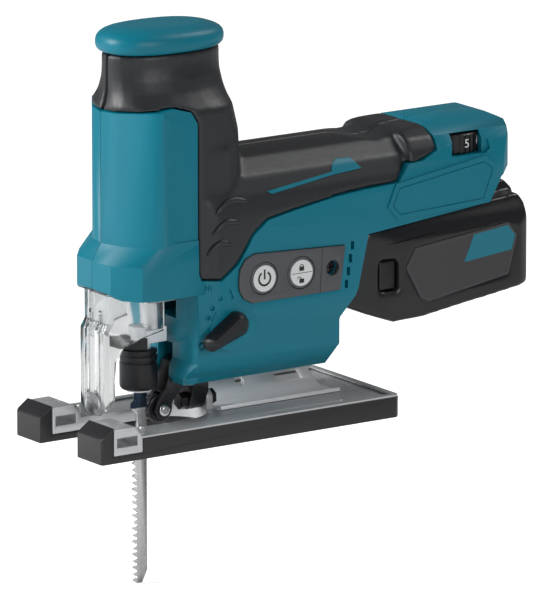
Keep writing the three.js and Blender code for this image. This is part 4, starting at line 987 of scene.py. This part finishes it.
class MakeSpeedDial(bpy.types.Operator):
    """Makes the speed dial with its knurled rim and its numbers"""
    bl_idname = "jigsaw.speed_dial"
    bl_label = "Speed dial"

    def execute(self, context):
        low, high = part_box("speed_dial")
        x, y = DIAL_AXIS
        bottom, top = low.z / MM, high.z / MM
        centre = at(x, y, 0)
        flat = DIAL_RADIUS - 0.5
        wheel = turned([(0, bottom), (flat, bottom), (DIAL_RADIUS, bottom + 0.5), (DIAL_RADIUS, top - 0.5),
                        (flat, top), (0, top)], centre, (0, 0, 1), "dial_wheel", 96)
        shaded(wheel)
        lug = prism(rounded_box(-0.75, 0.75, bottom + 0.35, top - 0.35, 0.3, 3), 11.1, 11.97,
                    lambda a, b, d: Vector((d, a, b)) * MM, "dial_lug")
        shaded(lug)
        lugs = repeated("parts_in_a_ring", lug, "black_plastic", Count=DIAL_LUGS, Centre=centre)
        whole = merged([wheel, lugs], "speed_dial_wheel")
        shaded(whole)
        placed(whole, "speed_dial_wheel", "speed_dial", "black_plastic", "speed_dial")
        digits = []
        for k in range(6):
            text = bpy.data.curves.new("digit", "FONT")
            text.body = str(k + 1)
            text.size = DIGIT_SIZE * MM
            text.align_x = "CENTER"
            text.align_y = "CENTER"
            text.extrude = 0.12 * MM
            thing = shown("digit", text)
            graph = bpy.context.evaluated_depsgraph_get()
            mesh = bpy.data.meshes.new_from_object(thing.evaluated_get(graph))
            bpy.data.objects.remove(thing)
            bpy.data.curves.remove(text)
            turn = math.radians((SHOWN_DIGIT - k) * DIGIT_STEP)
            upright_turn = Matrix.Rotation(turn, 4, "Z") @ Matrix.Translation((DIGIT_RADIUS * MM, 0, 0))
            stand = Matrix.Rotation(math.pi / 2, 4, "Z") @ Matrix.Rotation(math.pi / 2, 4, "X")
            mesh.transform(Matrix.Translation(at(x, y, (bottom + top) / 2)) @ upright_turn @ stand)
            digits.append(shown("digit", mesh))
        print_mesh = merged(digits, "speed_dial_numbers")
        placed(shaded(print_mesh), "speed_dial_numbers", "speed_dial", "pale_plastic")
        return {"FINISHED"}


class MakeLever(bpy.types.Operator):
    """Shapes the orbital lever with its raised spine"""
    bl_idname = "jigsaw.lever"
    bl_label = "Orbital lever"

    def execute(self, context):
        pivot = (81.5, 58.7)
        turn = 206
        reach = 15.5
        tip = tuple(arc(pivot, reach, turn, turn, 1)[0])
        outline = arc(pivot, 7, turn - 250, turn - 100, 14) + arc(tip, 4.5, turn - 80, turn + 80, 12)
        rows = []
        steps = ((33.3, 0, 0), (35.6, 0.1, 0), (37.0, 0.7, 0.3), (39.5, 2.6, 1.1), (40.3, 3.3, 1.3))
        for x, inset, lift in steps:
            ring_here = grown_outline(outline, -inset)
            rows.append([at(x, a - lift * 0.44, b + lift * 0.9) for a, b in ring_here])
        lever = loft(rows, "lever_handle")
        shaft = turned([(0, 13.1), (4, 13.1), (4, 33.6), (0, 33.6)], at(0, *pivot), (1, 0, 0), "shaft", 32)
        join(lever, shaft)
        rounded(lever, 0.5 * MM, 3, 32)
        placed(lever, "orbital_lever_moulded", "orbital_lever", "black_plastic", "orbital_lever")
        dressed("orbital_cam", "dark_steel")
        return {"FINISHED"}


class MakeBladeDrive(bpy.types.Operator):
    """Shapes the blade with its set teeth, the clamp and the guide roller"""
    bl_idname = "jigsaw.blade_drive"
    bl_label = "Blade, clamp and roller"

    def execute(self, context):
        self.blade()
        self.clamp()
        self.roller()
        for node, material in (("slider_rod", "bright_steel"), ("yoke", "dark_steel"),
                               ("arm_pivot_pin", "bright_steel")):
            dressed(node, material)
        return {"FINISHED"}

    def blade(self):
        """The blade with each tooth ground and leaning out to one side, then the other."""
        blade = cad_copy("blade", flat=0.2)
        front = back_to_mm(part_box("blade")[0]).y
        bm = bmesh.new()
        bm.from_mesh(blade.data)
        for vertex in bm.verts:
            place = back_to_mm(vertex.co)
            if place.y < front + TOOTH_DEPTH and place.z < TEETH_TOP:
                row = int((place.z - TEETH_FOOT) // TOOTH_PITCH)
                vertex.co.x += (TOOTH_SET if row % 2 else -TOOTH_SET) * MM
        bm.to_mesh(blade.data)
        bm.free()
        rounded(blade, 0.08 * MM, 1, 40)
        placed(blade, "blade_ground", "slider", "blade_steel", "blade")

    def clamp(self):
        """The turned clamp sleeve with its grooves and its slot, its lever and the holder."""
        centre = at(0, 47.0, 0)
        sleeve = turned([(0, 25.2), (6.6, 25.2), (8.4, 25.2), (9.2, 26.2), (9.4, 27.2), (9.4, 38.6),
                         (8.9, 39.0), (8.9, 39.6), (9.4, 40.0), (9.4, 42.2), (8.9, 42.6), (8.9, 43.2),
                         (9.4, 43.6), (9.3, 45.2), (8.6, 45.9), (0, 45.9)],
                        centre, (0, 0, 1), "sleeve_skin", 72)
        bore = turned([(0, 20), (6.5, 20), (6.5, 50), (0, 50)], centre, (0, 0, 1), "bore", 48)
        cut(sleeve, bore, upright(rect(-5.4, 5.4, 53, 59), 0, 60))
        shaded(sleeve, 30)
        placed(sleeve, "clamp_sleeve_turned", "clamp_sleeve", "black_plastic", "clamp_sleeve")
        refined("release_lever", 0.7 * MM, "black_plastic", "clamp_sleeve", "black_plastic")
        refined("blade_holder", 0.5 * MM, "satin_steel", "slider", "cast_aluminium")

    def roller(self):
        refined("roller_arm", 0.7 * MM, "dark_steel", "roller_arm", "dark_steel")
        refined("roller", 0.2 * MM, "dark_steel", "roller", "dark_steel", segments=2)
        refined("roller_pin", 0.3 * MM, "bright_steel", "roller_arm", "bright_steel")


class MakeDustCover(bpy.types.Operator):
    """Makes the clear dust cover with its two long grooves and the ribs in them"""
    bl_idname = "jigsaw.dust_cover"
    bl_label = "Dust cover"

    def execute(self, context):
        cover = cad_copy("dust_cover")
        for x in (-4.2, 4.2):
            cut(cover, lengthwise(rounded_box(x - 1.5, x + 1.5, 26, 68, 1.5, 6), 15, 23.2))
            join(cover, lengthwise(rounded_box(x - 0.6, x + 0.6, 28, 66, 0.6, 4), 21.2, 22.9))
        rounded(cover, 0.45 * MM, 3, 30)
        placed(cover, "dust_cover_moulded", "dust_cover", "clear_plastic", "dust_cover")
        return {"FINISHED"}


class MakeBase(bpy.types.Operator):
    """Shapes the base: shoe, cast plate, saddle and bevel lock"""
    bl_idname = "jigsaw.base"
    bl_label = "Base"

    def execute(self, context):
        refined("base_shoe", 0.7 * MM, "shoe_steel", "base", "shoe_steel")
        plate = cad_copy("base_plate")
        slits = (rect(26.6, 28.4, 96, 150), rect(30.8, 32.2, 104, 128), ring((27.5, 150), 1.8, 24),
                 ring((30, 166), 0.9, 20))
        cut(plate, *[upright(outline, 9.3, 20) for outline in slits])
        rounded(plate, 0.45 * MM)
        placed(plate, "base_plate_cast", "base", "cast_aluminium", "base_plate")
        refined("bevel_saddle", 0.35 * MM, "satin_steel", "base", "bright_steel", segments=2)
        refined("bevel_bolt", 0.3 * MM, "dark_steel", "base", "bright_steel", segments=2)
        refined("bevel_bracket", 0.6 * MM, "dark_steel", "housing", "dark_steel")
        pegs = []
        for x in (-27.8, 27.8):
            pegs.append(turned([(0, 9.8), (1.5, 9.8), (1.5, 12.8), (1.1, 13.4), (0, 13.6)],
                               at(x, 30.5, 0), (0, 0, 1), "peg", 24))
        placed(shaded(merged(pegs, "locating_pegs")), "locating_pegs", "base", "cast_aluminium")
        return {"FINISHED"}


class MakeBattery(bpy.types.Operator):
    """Shapes the battery case, its label and its release buttons"""
    bl_idname = "jigsaw.battery"
    bl_label = "Battery"

    def execute(self, context):
        case = merged([cad_copy("battery_case_lower"), cad_copy("battery_case_upper")], "case")
        softened(case, sizes().battery_voxel, 22)
        cut(case, across(grown_outline(LABEL, 0.3), LABEL_SEAT, 40))
        line = across([(155, 84.3), (270, 96.0), (270, 96.4), (155, 84.7)], 30.9, 40)
        cut(case, line)
        shaded(case, 40)
        placed(case, "battery_case_moulded", "battery", "battery_plastic", "battery_case_lower",
               "battery_case_upper", slot="black_plastic")
        plate = across(LABEL, LABEL_BACK, 31.85, "label_plate")
        rounded(plate, 0.12 * MM, 2, 30)
        placed(plate, "battery_label", "battery", "label_plastic", "battery_label_plate",
               slot="black_plastic")
        line = across(grown_outline(LABEL, -1.0), LABEL_PRINT_BACK, 31.95, "label_line")
        cut(line, across(grown_outline(LABEL, -1.35), 30, 34))
        placed(shaded(line), "battery_label_line", "battery", "grey_plastic")
        patch = across([(221, 72), (227, 85.3), (247.8, 87.5), (252.2, 82), (250.2, 74.8)],
                       LABEL_PRINT_BACK, 31.93, "patch")
        placed(shaded(patch), "battery_label_patch", "battery", "label_teal", slot="teal_plastic")
        for side in ("left", "right"):
            body = "battery_latch_" + side
            latch = cad_copy(body)
            rounded(latch, 1.2 * MM, 4, 30)
            placed(latch, body + "_moulded", body, "black_plastic", body)
        for index in (1, 2, 3):
            dressed("battery_cell_%d" % index, "cell_wrap")
        return {"FINISHED"}


class MakeInnerWorks(bpy.types.Operator):
    """Finishes the motor, the gear train, the boards and the lamp inside"""
    bl_idname = "jigsaw.inner_works"
    bl_label = "Inner works"

    def execute(self, context):
        for node, material in (
                ("gear_housing", "cast_aluminium"), ("rod_bushing_lower", "bronze"),
                ("rod_bushing_upper", "bronze"), ("gear_shaft", "bright_steel"),
                ("gear_bearing", "bright_steel"), ("drive_gear", "dark_steel"),
                ("crank_pin", "bright_steel"), ("crank_roller", "bright_steel"),
                ("counterweight", "dark_steel"), ("pinion", "bright_steel"), ("rotor", "dark_steel"),
                ("stator", "copper"), ("motor_bearing_front", "bright_steel"),
                ("motor_bearing_rear", "bright_steel"), ("fan", "black_plastic"),
                ("controller_board", "circuit"), ("switch_board", "circuit"),
                ("terminal_block", "black_plastic"), ("dial_potentiometer", "black_plastic"),
                ("work_light", "lens")):
            dressed(node, material)
        return {"FINISHED"}


class MakeScrews(bpy.types.Operator):
    """Puts cross-head screws in the right shell"""
    bl_idname = "jigsaw.screws"
    bl_label = "Housing screws"

    def execute(self, context):
        nodes = ["housing_screw_front", "housing_screw_lower", "housing_screw_tail"]
        points = []
        for node in nodes:
            low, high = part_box(node)
            points.append(Vector((low.x + 0.9 * MM, (low.y + high.y) / 2, (low.z + high.z) / 2)))
        head = cross_head(3.1, 1.1)
        screws = repeated("parts_at_points", head, "dark_steel", points, Turn=(0, -math.pi / 2, 0), Size=1.0)
        placed(screws, "housing_screw_heads", "housing", "dark_steel", *nodes, slot="dark_steel")
        return {"FINISHED"}


class MakeStage(bpy.types.Operator):
    """Sets the floor, the soft lights and the camera"""
    bl_idname = "jigsaw.stage"
    bl_label = "Stage"

    def execute(self, context):
        scene = context.scene
        floor_mesh = bpy.data.meshes.new("floor")
        z = CAD_BOX[0][2] - sizes().floor_drop
        corners = [(x, y, z) for x, y in rect(-FLOOR_HALF, FLOOR_HALF, -FLOOR_HALF, FLOOR_HALF)]
        floor_mesh.from_pydata(corners, [], [(0, 1, 2, 3)])
        floor = shown("floor", floor_mesh)
        plain, tree, surface = new_material("floor_paper")
        set_inputs(surface, {
            "Base Color": (0.9, 0.9, 0.9, 1), "Roughness": 0.85, "Emission Color": (1, 1, 1, 1)})
        seen = shader_node(tree, "ShaderNodeLightPath")
        glow = shader_node(tree, "ShaderNodeMath", {1: FLOOR_GLOW}, operation="MULTIPLY")
        wire(tree, (seen, "Is Camera Ray", glow, 0), (glow, 0, surface, "Emission Strength"))
        floor.data.materials.append(plain)
        world = bpy.data.worlds.new("studio")
        world.use_nodes = True
        set_inputs(world.node_tree.nodes["Background"], {"Color": (1, 1, 1, 1), "Strength": WORLD_LIGHT})
        scene.world = world
        for lamp in LAMPS:
            self.light(*lamp)
        self.camera(scene)
        scene.view_settings.view_transform = "Standard"
        return {"FINISHED"}

    def light(self, name, place, power, size):
        lamp = bpy.data.lights.new(name, "AREA")
        lamp.energy = power
        lamp.size = size
        thing = shown(name, lamp)
        thing.location = place
        aim = LAMP_TARGET - Vector(place)
        thing.rotation_euler = aim.to_track_quat("-Z", "Y").to_euler()

    def camera(self, scene):
        turn = math.radians(CAMERA_AZIMUTH)
        lift = math.radians(CAMERA_LIFT)
        away = Vector((math.sin(turn) * math.cos(lift), -math.cos(turn) * math.cos(lift), math.sin(lift)))
        lens = bpy.data.cameras.new("camera")
        lens.lens = CAMERA_LENS
        lens.sensor_width = 36
        lens.clip_end = 50
        view = shown("camera", lens)
        view.location = CAMERA_TARGET + away * CAMERA_DISTANCE
        view.rotation_euler = (-away).to_track_quat("-Z", "Y").to_euler()
        scene.camera = view


OPERATORS = (MakeFinishes, MakeStage, MakeHousing, MakeGrips, MakeCap, MakeSwitchPanel, MakeSpeedDial,
             MakeLever, MakeBladeDrive, MakeDustCover, MakeBase, MakeBattery, MakeInnerWorks, MakeScrews)


class JigsawPanel(bpy.types.Panel):
    """Lists the pieces of the jigsaw and what can be changed"""
    bl_idname = "VIEW3D_PT_jigsaw"
    bl_label = "Cordless jigsaw"
    bl_space_type = "VIEW_3D"
    bl_region_type = "UI"
    bl_category = "Jigsaw"

    def draw(self, context):
        layout = self.layout
        for group in (context.scene.jigsaw_colours, context.scene.jigsaw_sizes):
            column = layout.column()
            for name in group.__annotations__:
                column.prop(group, name)
        for operator in OPERATORS:
            layout.operator(operator.bl_idname)


CLASSES = (JigsawColours, JigsawSizes, *OPERATORS, JigsawPanel)


def register():
    for cls in CLASSES:
        bpy.utils.register_class(cls)
    bpy.types.Scene.jigsaw_colours = bpy.props.PointerProperty(type=JigsawColours)
    bpy.types.Scene.jigsaw_sizes = bpy.props.PointerProperty(type=JigsawSizes)


def unregister():
    del bpy.types.Scene.jigsaw_sizes
    del bpy.types.Scene.jigsaw_colours
    for cls in reversed(CLASSES):
        bpy.utils.unregister_class(cls)


def main():
    register()
    for operator in OPERATORS:
        group, name = operator.bl_idname.split(".")
        getattr(getattr(bpy.ops, group), name)()


if __name__ == "__main__":
    main()
